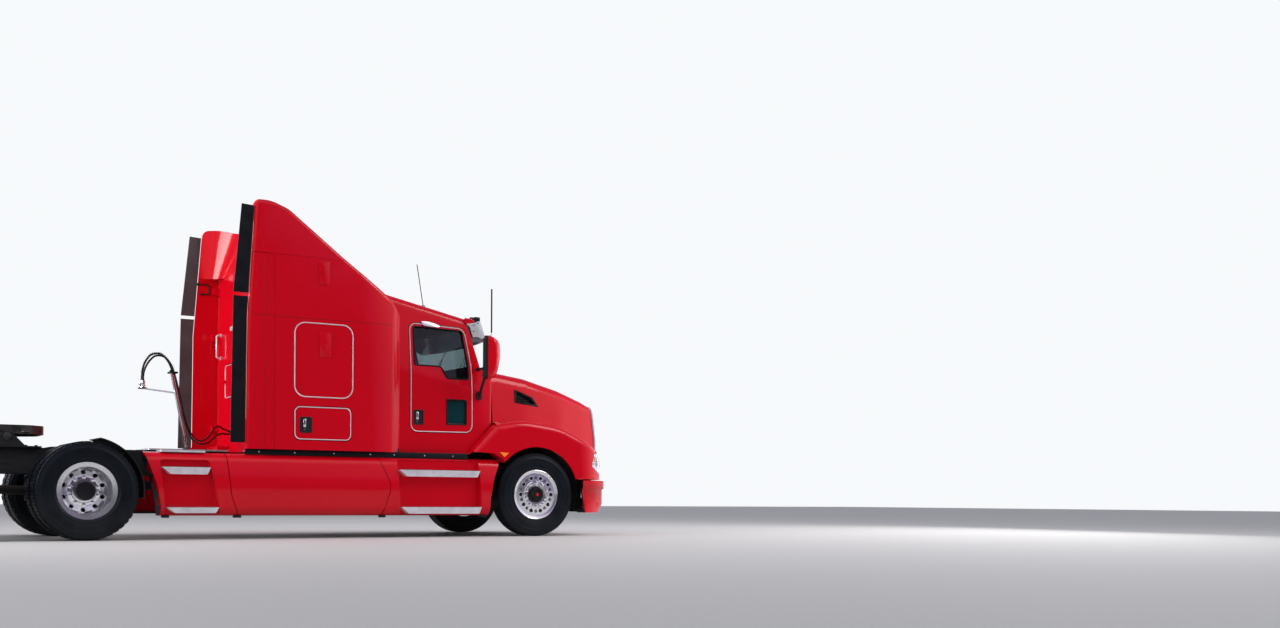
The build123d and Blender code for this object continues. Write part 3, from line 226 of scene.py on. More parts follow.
def makeFinish(name, look):
    material = bpy.data.materials.new(name)
    material.use_nodes = True
    tree = material.node_tree
    shader = tree.nodes["Principled BSDF"]
    place = tree.nodes.new("ShaderNodeTexCoord").outputs["Object"]

    mottle = shaderNode(tree, "ShaderNodeTexNoise", Scale=look["grain"], Detail=6)
    link(tree, place, mottle.inputs["Vector"])
    colors = tree.nodes.new("ShaderNodeValToRGB")
    base, vary = look["color"], look["vary"]
    colors.color_ramp.elements[0].position, colors.color_ramp.elements[1].position = 0.3, 0.7
    colors.color_ramp.elements[0].color = (*[c * (1 - vary) for c in base], 1)
    colors.color_ramp.elements[1].color = (*[min(1, c * (1 + vary)) for c in base], 1)
    link(tree, mottle.outputs["Fac"], colors.inputs["Fac"])
    paint = colors.outputs["Color"]

    low, high = look["rough"]
    gloss = shaderNode(tree, "ShaderNodeMapRange", From_Min=0.3, From_Max=0.7, To_Min=low, To_Max=high)
    link(tree, mottle.outputs["Fac"], gloss.inputs["Value"])
    gloss = gloss.outputs["Result"]

    if "dust" in look:  # road dust that thins out with height
        top, amount = look["dust"]
        split = tree.nodes.new("ShaderNodeSeparateXYZ")
        link(tree, place, split.inputs["Vector"])
        height = shaderNode(tree, "ShaderNodeMapRange", From_Min=0.0, From_Max=top, To_Min=amount, To_Max=0.0)
        link(tree, split.outputs["Z"], height.inputs["Value"])
        patch = shaderNode(tree, "ShaderNodeTexNoise", Scale=3.5, Detail=8)
        link(tree, place, patch.inputs["Vector"])
        share = tree.nodes.new("ShaderNodeMath")
        share.operation = "MULTIPLY"
        link(tree, height.outputs["Result"], share.inputs[0])
        link(tree, patch.outputs["Fac"], share.inputs[1])
        mix = tree.nodes.new("ShaderNodeMix")
        mix.data_type = "RGBA"
        mix.inputs["B"].default_value = (0.30, 0.27, 0.24, 1)
        link(tree, share.outputs[0], mix.inputs["Factor"])
        link(tree, paint, mix.inputs["A"])
        paint = mix.outputs["Result"]
        dull = tree.nodes.new("ShaderNodeMath")
        dull.operation = "ADD"
        link(tree, gloss, dull.inputs[0])
        link(tree, share.outputs[0], dull.inputs[1])
        gloss = dull.outputs[0]

    link(tree, paint, shader.inputs["Base Color"])
    link(tree, gloss, shader.inputs["Roughness"])
    bump = shaderNode(tree, "ShaderNodeBump", Strength=0.6, Distance=look["reliefDepth"])
    link(tree, reliefHeight(tree, place, look), bump.inputs["Height"])
    link(tree, bump.outputs["Normal"], shader.inputs["Normal"])

    shader.inputs["Metallic"].default_value = look.get("metallic", 0)
    shader.inputs["Coat Weight"].default_value = look.get("coat", 0)
    shader.inputs["Coat Roughness"].default_value = look.get("coatRough", 0.03)
    shader.inputs["Coat IOR"].default_value = look.get("coatIor", 1.5)
    shader.inputs["Sheen Weight"].default_value = look.get("sheen", 0)
    shader.inputs["Transmission Weight"].default_value = look.get("transmission", 0)
    shader.inputs["IOR"].default_value = look.get("ior", 1.5)
    shader.inputs["Specular IOR Level"].default_value = look.get("spec", 0.5)
    if "glow" in look:
        shader.inputs["Emission Color"].default_value = (*look["color"], 1)
        shader.inputs["Emission Strength"].default_value = look["glow"]
    return material


finishes = {name: makeFinish(name, look) for name, look in finishLooks.items()}
print("finishes made:", len(finishes))


# Shared ways of making a piece
def addPiece(name, mesh, finish, body):
    piece = bpy.data.objects.new(name, mesh)
    bpy.context.scene.collection.objects.link(piece)
    mesh.materials.clear()
    mesh.materials.append(finishes[finish])
    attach(piece, body)
    return piece


def smoothByAngle(shape, degrees):
    limit = math.radians(degrees)
    for face in shape.faces:
        face.smooth = True
    for edge in shape.edges:
        edge.smooth = len(edge.link_faces) == 2 and edge.calc_face_angle(0) < limit


def finishShape(shape, name, finish, body, smooth=35):
    bmesh.ops.remove_doubles(shape, verts=shape.verts, dist=0.00002)
    bmesh.ops.recalc_face_normals(shape, faces=shape.faces)
    smoothByAngle(shape, smooth)
    mesh = bpy.data.meshes.new(name)
    shape.to_mesh(mesh)
    shape.free()
    return addPiece(name, mesh, finish, body)


def dressNode(node, finish, regions=(), smooth=32):
    # A merged copy of the node's mesh, shaded smooth, stands for the node;
    # a region gives another finish to the faces that its test picks
    shape = bmesh.new()
    shape.from_mesh(frame["nodes"][node].data)
    bmesh.ops.remove_doubles(shape, verts=shape.verts, dist=0.00002)
    smoothByAngle(shape, smooth)
    picked = []
    for face in shape.faces:
        middle = face.calc_center_median()
        picked.append(max((k for k, (_, picks) in enumerate(regions, 1) if picks(middle, face.normal)), default=0))
    mesh = bpy.data.meshes.new(f"{node}_skin")
    shape.to_mesh(mesh)
    shape.free()
    piece = addPiece(f"{node}_skin", mesh, finish, frame["nodes"][node]["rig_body"])
    for other, _ in regions:
        mesh.materials.append(finishes[other])
    mesh.polygons.foreach_set("material_index", picked)
    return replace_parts(piece, node)


def stamp(target, part, places=(Matrix(),)):
    # Copies a part into a shape at each place
    source = bpy.data.meshes.new("part")
    part.to_mesh(source)
    for place in places:
        copy = source.copy()
        copy.transform(place)
        target.from_mesh(copy)
        bpy.data.meshes.remove(copy)
    bpy.data.meshes.remove(source)
    return target


def boxPart(low, high, bevel=0.0, segments=2):
    shape = bmesh.new()
    made = bmesh.ops.create_cube(shape, size=1)["verts"]
    bmesh.ops.scale(shape, vec=[h - l for l, h in zip(low, high)], verts=made)
    bmesh.ops.translate(shape, vec=[(l + h) / 2 for l, h in zip(low, high)], verts=made)
    if bevel:
        bmesh.ops.bevel(
            shape, geom=shape.edges[:], offset=bevel, segments=segments, profile=0.5, affect="EDGES", material=-1
        )
    return shape


def rodPart(start, end, radius, endRadius=None, sides=16, bevel=0.0):
    start, end = Vector(start), Vector(end)
    shape = bmesh.new()
    bmesh.ops.create_cone(
        shape, cap_ends=True, segments=sides, radius1=radius, radius2=endRadius or radius, depth=(end - start).length
    )
    if bevel:
        rims = [e for e in shape.edges if abs(e.verts[0].co.z - e.verts[1].co.z) < 1e-6]
        bmesh.ops.bevel(shape, geom=rims, offset=bevel, segments=2, profile=0.5, affect="EDGES", material=-1)
    turn = (end - start).to_track_quat("Z", "Y").to_matrix().to_4x4()
    bmesh.ops.transform(shape, matrix=Matrix.Translation((start + end) / 2) @ turn, verts=shape.verts)
    return shape


def stubPart(at, reach, radius, sides=6, bevel=0.001):
    # A bolt head or a short rod standing at a point
    return rodPart(at, Vector(at) + Vector(reach), radius, sides=sides, bevel=bevel)


def turnedPart(profile, steps=48, closed=False):
    # Rows of (radius, y) spun about the Y axis
    shape = bmesh.new()
    verts = [shape.verts.new((radius, along, 0)) for radius, along in profile]
    edges = [shape.edges.new(ends) for ends in zip(verts, verts[1:])]
    if closed:
        edges.append(shape.edges.new((verts[-1], verts[0])))
    bmesh.ops.spin(
        shape, geom=verts + edges, cent=(0, 0, 0), axis=(0, 1, 0), angle=2 * math.pi, steps=steps, use_merge=True
    )
    bmesh.ops.remove_doubles(shape, verts=shape.verts, dist=0.00001)
    bmesh.ops.recalc_face_normals(shape, faces=shape.faces)
    return shape


def flatOutline(corners, radius, step=0.0, segments=7):
    # Points of a flat outline with rounded corners, its long runs cut into steps
    shape = bmesh.new()
    shape.faces.new([shape.verts.new(corner) for corner in corners])
    if radius:
        bmesh.ops.bevel(
            shape, geom=shape.verts[:], offset=radius, offset_type="OFFSET", segments=segments, profile=0.5,
            affect="VERTICES", material=-1,
        )
    if step:
        for edge in shape.edges[:]:
            cuts = int(edge.calc_length() / step)
            if cuts:
                bmesh.ops.subdivide_edges(shape, edges=[edge], cuts=cuts)
    shape.faces.ensure_lookup_table()
    points = [vert.co.copy() for vert in shape.faces[0].verts]
    shape.free()
    return points


def vertsOf(geometry):
    return [part for part in geometry if isinstance(part, bmesh.types.BMVert)]


def platePart(corners, radius, depth, bevel=0.0):
    # A rounded flat outline carried along the depth vector
    shape = bmesh.new()
    face = shape.faces.new([shape.verts.new(point) for point in flatOutline(corners, radius)])
    made = bmesh.ops.extrude_face_region(shape, geom=[face])["geom"]
    bmesh.ops.translate(shape, vec=depth, verts=vertsOf(made))
    bmesh.ops.recalc_face_normals(shape, faces=shape.faces)
    if bevel:
        rims = [e for e in shape.edges if abs((e.verts[0].co - e.verts[1].co).dot(Vector(depth))) < 1e-9]
        bmesh.ops.bevel(shape, geom=rims, offset=bevel, segments=2, profile=0.5, affect="EDGES", material=-1)
    return shape


def pathCurve(name, points, radius, closed=False, smooth=False, sides=2, fineness=8):
    curve = bpy.data.curves.new(name, "CURVE")
    curve.dimensions = "3D"
    spline = curve.splines.new("NURBS" if smooth else "POLY")
    spline.points.add(len(points) - 1)
    for point, place in zip(spline.points, points):
        point.co = (*place, 1)
    if smooth:
        spline.order_u, spline.use_endpoint_u, spline.resolution_u = 3, not closed, fineness
    spline.use_cyclic_u = closed
    curve.bevel_depth, curve.bevel_resolution, curve.use_fill_caps = radius, sides, not closed
    return curve


def railPart(points, radius, closed=False, smooth=False, sides=2):
    curve = pathCurve("rail", points, radius, closed, smooth, sides)
    holder = bpy.data.objects.new("rail", curve)
    mesh = bpy.data.meshes.new_from_object(holder)
    shape = bmesh.new()
    shape.from_mesh(mesh)
    bpy.data.objects.remove(holder)
    bpy.data.curves.remove(curve)
    bpy.data.meshes.remove(mesh)
    return shape


def skinRows(shape, rows):
    # Faces between neighbouring rows of corners, and over the first and last row
    for one, two in zip(rows, rows[1:]):
        for k in range(len(one)):
            shape.faces.new([one[k - 1], one[k], two[k], two[k - 1]])
    shape.faces.new(rows[0])
    shape.faces.new(rows[-1])
    return shape


def gather(*parts):
    whole = bmesh.new()
    for part in parts:
        stamp(whole, part)
        part.free()
    return whole


def mirrored(shape):
    # The same shape on the truck's other side
    bmesh.ops.scale(shape, vec=(1, -1, 1), verts=shape.verts)
    bmesh.ops.reverse_faces(shape, faces=shape.faces)
    return shape


def surfaceTree(*nodes):
    shape = bmesh.new()
    for node in nodes:
        shape.from_mesh(frame["nodes"][node].data)
    tree = BVHTree.FromBMesh(shape)
    shape.free()
    return tree


def onSide(tree, x, z, side, lift=0.0):
    hit = tree.ray_cast(Vector((x, side * 3, z)), Vector((0, -side, 0)))[0]
    hit = hit or tree.find_nearest(Vector((x, side * 1.3, z)))[0]
    return Vector((x, hit.y + side * lift, z))


def sideRow(tree, rows, side, lift, radius=0.0, step=0.05):
    # An outline given in x and z, laid on the truck's side
    flat = flatOutline([(x, 0, z) for x, z in rows], radius, step)
    return [onSide(tree, point.x, point.z, side, lift) for point in flat]


def onFace(tree, point, direction, lift=0.0):
    # The surface point met from far outside along the direction, lifted off the surface
    ray = Vector(direction)
    start = Vector(point) - ray * 4
    hit = tree.ray_cast(start, ray)[0] or tree.find_nearest(Vector(point))[0]
    return hit - ray * lift


def faceRow(tree, corners, direction, lift, radius=0.0, step=0.05):
    return [onFace(tree, point, direction, lift) for point in flatOutline(corners, radius, step)]


def bodyOf(node):
    return frame["nodes"][node]["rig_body"]


def bothSides(makeShape, name, finish, body, smooth=35):
    # A left shape and its mirrored twin; a body named with {} differs by side
    for side, sideName in sideNames.items():
        shape = makeShape()
        if side < 0:
            mirrored(shape)
        finishShape(shape, f"{name}_{sideName}", finish, body.format(sideName), smooth)


sideNames = {-1: "right", 1: "left"}


# Lines behind the sleeper
lineRoutes = {
    "air_line": [
        (-0.340, 0.400, 1.235), (-0.420, 0.396, 1.256), (-0.512, 0.305, 1.300), (-0.595, 0.175, 1.268),
        (-0.678, 0.040, 1.172), (-0.775, -0.085, 1.102), (-0.880, -0.220, 1.088), (-0.978, -0.352, 1.136),
        (-1.062, -0.452, 1.245), (-1.122, -0.500, 1.400), (-1.168, -0.506, 1.585), (-1.212, -0.506, 1.765),
        (-1.262, -0.507, 1.925), (-1.350, -0.510, 2.032), (-1.462, -0.510, 2.020), (-1.532, -0.507, 1.918),
        (-1.558, -0.506, 1.802), (-1.558, -0.506, 1.715),
    ],
    "power_line": [
        (-0.340, 0.330, 1.200), (-0.425, 0.327, 1.206), (-0.520, 0.236, 1.204), (-0.612, 0.110, 1.152),
        (-0.702, -0.020, 1.088), (-0.808, -0.142, 1.052), (-0.918, -0.282, 1.060), (-1.010, -0.412, 1.118),
        (-1.076, -0.518, 1.222), (-1.124, -0.566, 1.370), (-1.164, -0.575, 1.552), (-1.208, -0.574, 1.736),
        (-1.252, -0.574, 1.892), (-1.326, -0.572, 1.992), (-1.430, -0.571, 2.002), (-1.506, -0.573, 1.920),
        (-1.558, -0.574, 1.806), (-1.558, -0.574, 1.715),
    ],
}
lineDiameter = 0.020


def makeLine(node):
    route = lineRoutes[node]
    curve = pathCurve(f"{node}_hose", route, lineDiameter / 2, smooth=True, sides=4, fineness=10)
    hose = bpy.data.objects.new(f"{node}_hose", curve)
    bpy.context.scene.collection.objects.link(hose)
    curve.materials.append(finishes["blackRubber"])
    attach(hose, "chassis")
    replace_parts(hose, node)


for node in lineRoutes:
    makeLine(node)
print("lines made")

# CAD nodes that stay, each with its finish
nodeFinishes = {
    "redPaint": [
        "bumper", "hood_shell", "cab_sides", "cab_roof", "cowl", "door_left", "door_right", "sleeper_sides",
        "sleeper_back", "sleeper_roof", "luggage_door_left", "luggage_door_right", "back_hatch", "roof_fairing",
        "side_extenders", "side_fairings",
    ],
    "chassisPaint": [
        "frame_rails", "crossmembers", "front_axle", "tie_rod", "knuckle_left", "knuckle_right", "drive_axles",
        "engine", "cab_floor", "fifth_wheel_mount", "tail_lamps",
    ],
    "castSteel": ["fifth_wheel_plate"],
    "polished": ["visor", "fuel_tanks", "pogo_stick"],
    "wheelAluminium": [
        "steer_wheel_left", "steer_wheel_right", "drive_wheels_front_left", "drive_wheels_front_right",
        "drive_wheels_rear_left", "drive_wheels_rear_right",
    ],
    "treadAluminium": ["tread_plates"],
    "brightMetal": ["grille", "line_fittings"],
    "radiatorBlack": ["radiator"],
    "darkGlass": ["windshield", "door_glass_left", "door_glass_right"],
    "lampGlass": ["headlamps"],
    "blackPlastic": ["mirror_arms", "mud_guards", "antennas"],
    "blackRubber": ["extender_flaps"],
    "interiorPlastic": ["dashboard"],
}
pockets = [(1.403, 1.508, 1.331, 1.486, 1.009), (-0.005, 0.113, 1.186, 1.343, 1.156)]  # x and z ranges, least y


def inPocket(point, normal):
    return any(
        left < point.x < right and low < point.z < high and abs(point.y) > depth
        for left, right, low, high, depth in pockets
    )


def inwards(point, normal):
    return normal.y * point.y < -0.25 * abs(point.y)


wheelStations = (2.95, -2.23, -3.55)


def wheelHub(point, normal):
    # Hub and drum, inside the bolt circle or behind the disc
    centre = min(wheelStations, key=lambda x: abs(x - point.x))
    radius = math.hypot(point.z - 0.51, point.x - centre)
    return radius < 0.105 or (abs(point.y) < 0.91 and radius < 0.225)


def isAirBag(point, normal):
    near = min(math.hypot(point.x - x, abs(point.y) - 0.468) for x in (-2.480, -3.800))
    return near < 0.119 and point.z > 0.462


def onTail(point, normal):
    return normal.x < -0.9 and point.x < -4.149


nodeRegions = {
    "extender_flaps": [("flapGrey", inwards)],
    "cab_roof": [("interiorPlastic", lambda point, normal: normal.z < -0.3)],
    "drive_axles": [("blackRubber", isAirBag)],
    "cowl": [("interiorPlastic", lambda point, normal: normal.x < -0.3 and point.x < 2.40)],
    "cab_floor": [("blackRubber", lambda point, normal: normal.z > 0.5 and point.z > 1.0)],
    "hood_shell": [("hubBlack", lambda point, normal: normal.z < -0.2 and abs(point.y) < 0.95)],
    "bumper": [("hubBlack", lambda point, normal: normal.x < -0.3 or (normal.z > 0.5 and point.z < 0.4))],
    "tail_lamps": [
        ("redLens", onTail), ("silverAndSealHighlight", lambda point, normal: onTail(point, normal) and abs(point.y) < 0.31),
    ],
    "fuel_tanks": [("chassisPaint", lambda point, normal: abs(point.y) < 0.49)],
    "crossmembers": [("blackRubber", lambda point, normal: point.z > 0.967)],
    "side_fairings": [("hubBlack", lambda point, normal: abs(point.y) < 1.09 and normal.y * point.y < 0.2)],
    "dashboard": [
        ("hubBlack", lambda point, normal: point.x < 2.07 and abs(point.y - 0.5) < 0.25 and point.z > 1.55),
    ],
    "pogo_stick": [("blackPlastic", lambda point, normal: point.z > 1.8 or point.x < -1.45)],
}
sharedRegions = [
    (("cab_sides", "sleeper_sides", "door_left", "door_right"), ("interiorPlastic", inwards)),
    (("door_left", "door_right", "luggage_door_left", "luggage_door_right"), ("hubBlack", inPocket)),
    (("door_glass_left", "door_glass_right"), ("tealGlass", lambda point, normal: point.z < 1.75)),
    (nodeFinishes["wheelAluminium"], ("hubBlack", wheelHub)),
]
for nodes, region in sharedRegions:
    for node in nodes:
        nodeRegions.setdefault(node, []).append(region)
for finish, nodes in nodeFinishes.items():
    for node in nodes:
        dressNode(node, finish, nodeRegions.get(node, ()))


# Small easings of two dressed forms: the sleeper's front corner and the bumper's corner
easeLook = dict(
    cornerStart=0.70, cornerEnd=1.20, cabHalf=1.05, cornerShare=0.75, cornerCuts=7, cornerStep=0.055,
    bandHeight=0.580, tuckHeight=0.400, bandReach=0.042, faceReach=0.020, tuckReach=0.065, bendCuts=(0.65, 0.75, 0.85),
)
easedNodes = ("sleeper_sides", "roof_fairing", "sleeper_roof", "cab_floor")


def easeCorner(place):
    look = easeLook
    share = (place.x - look["cornerStart"]) / (look["cornerEnd"] - look["cornerStart"])
    depth = abs(place.y) - look["cabHalf"]
    if share > 0 and depth > 0:
        depth *= 1 - look["cornerShare"] * min(share, 1) ** 2
        place.y = math.copysign(look["cabHalf"] + depth, place.y)


def easeBumper(place):
    # Upper band stands out at the corners, the lower edge tucks under
    look = easeLook
    share = min(1, max(0, (abs(place.y) - 0.55) / 0.40))
    out = Vector((max(place.x - 3.60, 0.05), max(abs(place.y) - 0.80, 0))).normalized()
    reach = look["bandReach"] if place.z > look["bandHeight"] else look["faceReach"]
    if place.z < look["tuckHeight"]:
        reach -= look["tuckReach"] * (look["tuckHeight"] - place.z) / 0.10
    reach *= share * share * (3 - 2 * share)
    place.x += reach * out.x
    place.y += math.copysign(reach * out.y, place.y)


def reshape(piece, cuts, move):
    # Cuts a dressed form at planes and moves its points
    shape = bmesh.new()
    shape.from_mesh(piece.data)
    for axis, at in cuts:
        normal = Vector([1.0 if k == axis else 0.0 for k in range(3)])
        parts = shape.verts[:] + shape.edges[:] + shape.faces[:]
        bmesh.ops.bisect_plane(shape, geom=parts, dist=0.00001, plane_co=normal * at, plane_no=normal)
    for vert in shape.verts:
        move(vert.co)
    smoothByAngle(shape, 32)
    shape.to_mesh(piece.data)
    shape.free()


cornerCuts = [(0, easeLook["cornerStart"] + easeLook["cornerStep"] * k) for k in range(easeLook["cornerCuts"])]
for node in easedNodes:
    reshape(bpy.data.objects[f"{node}_skin"], cornerCuts, easeCorner)
bumperCuts = [(2, easeLook["tuckHeight"]), (2, easeLook["bandHeight"]), (2, easeLook["bandHeight"] + 0.008)]
bumperCuts += [(1, side * y) for side in (-1, 1) for y in easeLook["bendCuts"]]
reshape(bpy.data.objects["bumper_skin"], bumperCuts, easeBumper)
print("nodes dressed")


# Tyres: a steer tyre has straight ribs, a drive tyre has cross-cut blocks
tyreShape = dict(
    radius=0.5095, base=0.4965, bead=0.286, beadHalf=0.109, steps=180,
    wall=[
        (0.302, 0.121), (0.318, 0.1285), (0.322, 0.1325), (0.330, 0.1325), (0.334, 0.1305), (0.360, 0.1375),
        (0.385, 0.1392), (0.405, 0.1395), (0.430, 0.1385), (0.434, 0.1398), (0.440, 0.1398), (0.444, 0.1372),
        (0.465, 0.1335), (0.480, 0.1280), (0.484, 0.1285), (0.492, 0.1225),
    ],
    steerRibs=[0.106, 0.0665, 0.0575, 0.0255, 0.0165], driveBlocks=[0.106, 0.061, 0.051, 0.005],
)


def tyreProfile(kind):
    look = tyreShape
    wall = [(look["bead"], look["beadHalf"]), *look["wall"]]
    crown = []
    if kind == "steer":
        edges = look["steerRibs"]
        crown.append((look["radius"] - 0.002, edges[0]))
        for outer, inner in ((edges[1], edges[2]), (edges[3], edges[4])):
            crown += [(look["radius"], outer), (look["base"], outer - 0.002), (look["base"], inner + 0.002)]
            crown.append((look["radius"], inner))
    else:
        crown = [(look["base"], edge) for edge in look["driveBlocks"]]
    half = wall + crown
    return half + [(radius, -along) for radius, along in reversed(half)]


def makeTyrePart(kind):
    look = tyreShape
    shape = turnedPart(tyreProfile(kind), look["steps"], closed=True)
    if kind == "drive":
        lift = look["radius"] / look["base"]
        blocks = look["driveBlocks"]
        bands = [(blocks[1], blocks[0]), (blocks[3], blocks[2]), (-blocks[2], -blocks[3]), (-blocks[0], -blocks[1])]
        picked = []
        for face in shape.faces:
            middle = face.calc_center_median()
            if math.hypot(middle.x, middle.z) < look["base"] - 0.001:
                continue
            turn = int(((math.atan2(middle.z, middle.x) / (2 * math.pi)) % 1) * look["steps"])
            for column, (low, high) in enumerate(bands):
                if low < middle.y < high and (turn + 2 * (column % 2)) % 4:
                    picked.append(face)
        made = bmesh.ops.extrude_face_region(shape, geom=picked)["geom"]
        bmesh.ops.delete(shape, geom=picked, context="FACES")
        bmesh.ops.scale(shape, vec=(lift, 1, lift), verts=vertsOf(made))
    return shape


wheelPlaces = {
    "steer_wheel": [(2.950, 1.045)],
    "drive_front": [(-2.230, 1.090), (-2.230, 0.750)],
    "drive_rear": [(-3.550, 1.090), (-3.550, 0.750)],
}
axleHeight = 0.510


def makeTyres():
    for kind, places in wheelPlaces.items():
        part = makeTyrePart("steer" if kind == "steer_wheel" else "drive")
        for side, sideName in sideNames.items():
            shape = stamp(bmesh.new(), part, [Matrix.Translation((x, side * y, axleHeight)) for x, y in places])
            node = f"steer_tyre_{sideName}" if kind == "steer_wheel" else f"{kind.replace('_', '_tyres_')}_{sideName}"
            body = f"{kind}_{sideName}"
            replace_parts(finishShape(shape, f"{node}_tread", "tyreRubber", body, smooth=30), node)
        part.free()


# Wheel trim: nuts, hub caps, bright rings and valve stems
nutLook = dict(circle=0.143, across=0.0175, height=0.030, studRadius=0.009, collar=0.021)


def nutPart(look):
    # A nut standing on the XZ plane, pointing along +Y
    height = look["height"]
    return gather(
        rodPart((0, 0, 0), (0, 0.006, 0), look["collar"], sides=20, bevel=0.001),
        rodPart((0, 0.005, 0), (0, height, 0), look["across"], sides=6, bevel=0.002),
        rodPart((0, height - 0.002, 0), (0, height + 0.010, 0), look["studRadius"], sides=12, bevel=0.001),
    )


def spots(count, radius, along, start=0.0):
    # Places round the Y axis, each with its part standing along +Y
    return [
        Matrix.Rotation(math.radians(start + 360 * k / count), 4, "Y") @ Matrix.Translation((radius, along, 0))
        for k in range(count)
    ]


def handHoles(radius, circle, along):
    # Rimmed openings in a wheel's disc, each closed by a black disc: painted shade for the dark view through the hole
    edge = [(0, -0.004), (0, 0.002), (0.0015, 0.0035), (0.0035, 0.002), (0.0040, -0.004)]
    rim = turnedPart([(radius + out, y) for out, y in edge], 24)
    holeShade = rodPart((0, -0.003, 0), (0, 0.001, 0), radius + 0.0003, sides=24)
    places = spots(10, circle, along)
    return stamp(bmesh.new(), rim, places), stamp(bmesh.new(), holeShade, places)


def nutRing(along):
    return stamp(bmesh.new(), nutPart(nutLook), spots(10, nutLook["circle"], along, 18))


def steerTrim():
    ring = turnedPart([(0.128, 1.150), (0.128, 1.161), (0.132, 1.164), (0.160, 1.163), (0.166, 1.158), (0.166, 1.150)])
    lip = turnedPart([(0.286, 1.150), (0.291, 1.163), (0.297, 1.1655), (0.3035, 1.163), (0.305, 1.150)], 96)
    holes, holeShade = handHoles(0.0235, 0.207, 1.1545)
    hub = turnedPart([
        (0.098, 1.150), (0.098, 1.166), (0.092, 1.172), (0.078, 1.174), (0.074, 1.190), (0.070, 1.1945),
        (0.052, 1.1955), (0.050, 1.1925), (0.030, 1.1925), (0.028, 1.1965), (0.0, 1.1965),
    ])
    bolts = stamp(bmesh.new(), rodPart((0, 0, 0), (0, 0.006, 0), 0.006, sides=6), spots(8, 0.062, 1.1945, 10))
    centre = turnedPart([(0.019, 1.190), (0.019, 1.1975), (0.016, 1.1990), (0.0, 1.1995)], 24)
    stem = rodPart((0.245, 1.140, 0), (0.236, 1.172, 0), 0.0045, sides=10)
    return {
        "brightMetal": gather(nutRing(1.157), ring, lip, holes), "hubBlack": gather(hub, bolts, holeShade),
        "redPaint": centre, "castSteel": stem,
    }


def driveTrim():
    ring = turnedPart([
        (0.098, 0.990), (0.098, 1.012), (0.102, 1.015), (0.120, 1.014), (0.124, 1.010), (0.162, 1.010),
        (0.168, 1.006), (0.170, 0.948), (0.164, 0.946),
    ], 64)
    lip = turnedPart([(0.280, 1.190), (0.286, 1.2035), (0.294, 1.2055), (0.300, 1.2045), (0.3015, 1.190)], 96)
    holes, holeShade = handHoles(0.0260, 0.198, 0.9475)
    hub = turnedPart([
        (0.0995, 1.008), (0.0995, 1.112), (0.094, 1.126), (0.072, 1.131), (0.060, 1.131), (0.057, 1.124), (0.0, 1.124),
    ])
    head = rodPart((0, 0, 0), (0, 0.012, 0), 0.0095, sides=6, bevel=0.001)
    bolts = stamp(bmesh.new(), head, spots(8, 0.080, 1.124, 22))
    return {"brightMetal": gather(nutRing(1.010), ring, lip, holes), "hubBlack": gather(hub, bolts, holeShade)}


def makeWheelTrim():
    for kind, makeTrim in (("steer_wheel", steerTrim), ("drive_front", driveTrim), ("drive_rear", driveTrim)):
        x = wheelPlaces[kind][0][0]
        for side, sideName in sideNames.items():
            for finish, shape in makeTrim().items():
                if side < 0:
                    mirrored(shape)
                bmesh.ops.translate(shape, vec=(x, 0, axleHeight), verts=shape.verts)
                finishShape(shape, f"{kind}_{sideName}_{finish}", finish, f"{kind}_{sideName}")


makeTyres()
makeWheelTrim()
print("wheels and tyres made")

# Seals, hatch panels and latches on the sides; rows are (x, z)
doorOutline = [(1.345, 1.228), (2.160, 1.235), (2.157, 2.050), (2.080, 2.508), (1.345, 2.534)]
windowOutline = [
    (1.400, 2.018), (1.737, 2.018), (1.822, 1.878), (2.104, 1.878), (2.104, 2.050), (2.042, 2.474), (1.400, 2.488),
]
lowerWindow = [(1.808, 1.331), (2.076, 1.331), (2.076, 1.639), (1.808, 1.639)]
# Outline of a small bright plate at the top of the door window: a painted highlight for the sun's glint on the door's
# top curve
doorGlintOutline = [(1.505, 2.548), (1.600, 2.552), (1.700, 2.528), (1.742, 2.494), (1.650, 2.486), (1.530, 2.494)]
hatchLook = dict(
    sealRadius=0.0055, sealInset=0.006,
    upper=[(-0.077, 1.577), (0.593, 1.577), (0.593, 2.401), (-0.077, 2.401)], upperCorner=0.12,
    lower=[(-0.085, 1.091), (0.586, 1.091), (0.586, 1.477), (-0.085, 1.477)],
    plate=[(0.205, 2.026), (0.333, 2.026), (0.333, 2.295), (0.205, 2.295)],
    gill=[(0.200, 2.838), (0.318, 2.838), (0.318, 3.101), (0.200, 3.101)],
    pill=[(0.246, 2.06), (0.292, 2.06), (0.292, 2.17), (0.246, 2.17)],
    gillPill=[(0.236, 2.97), (0.282, 2.97), (0.282, 3.07), (0.236, 3.07)],
    plateHeights=dict(plate=0.009, gill=0.009, pill=0.016, gillPill=0.016),
    rivetPitch=0.105, seamHeight=2.450, seamX=-0.400, seamRadius=0.0022,
)
latchPockets = {  # low x, low z, high x, high z
    "door": (1.404, 1.332, 1.507, 1.485), "luggage_door": (-0.004, 1.187, 0.112, 1.342),
}


def shrunkRow(rows, inset):
    middleX, middleZ = sum(x for x, _ in rows) / len(rows), sum(z for _, z in rows) / len(rows)
    return [(x - math.copysign(inset, x - middleX), z - math.copysign(inset, z - middleZ)) for x, z in rows]


def sidePlate(tree, rows, radius, side, thickness, sink=0.004, bevel=0.001):
    # A flat plate on the side, leaning as the surface under it leans
    shape = platePart([(x, 0, z) for x, z in rows], radius, (0, thickness + sink, 0), bevel)
    lowZ, highZ = min(z for _, z in rows), max(z for _, z in rows)
    middle = sum(x for x, _ in rows) / len(rows)
    low, high = onSide(tree, middle, lowZ, side).y, onSide(tree, middle, highZ, side).y
    for vert in shape.verts:
        ground = low + (high - low) * (vert.co.z - lowZ) / (highZ - lowZ)
        vert.co.y = ground + side * (vert.co.y - sink)
    bmesh.ops.recalc_face_normals(shape, faces=shape.faces)
    return shape


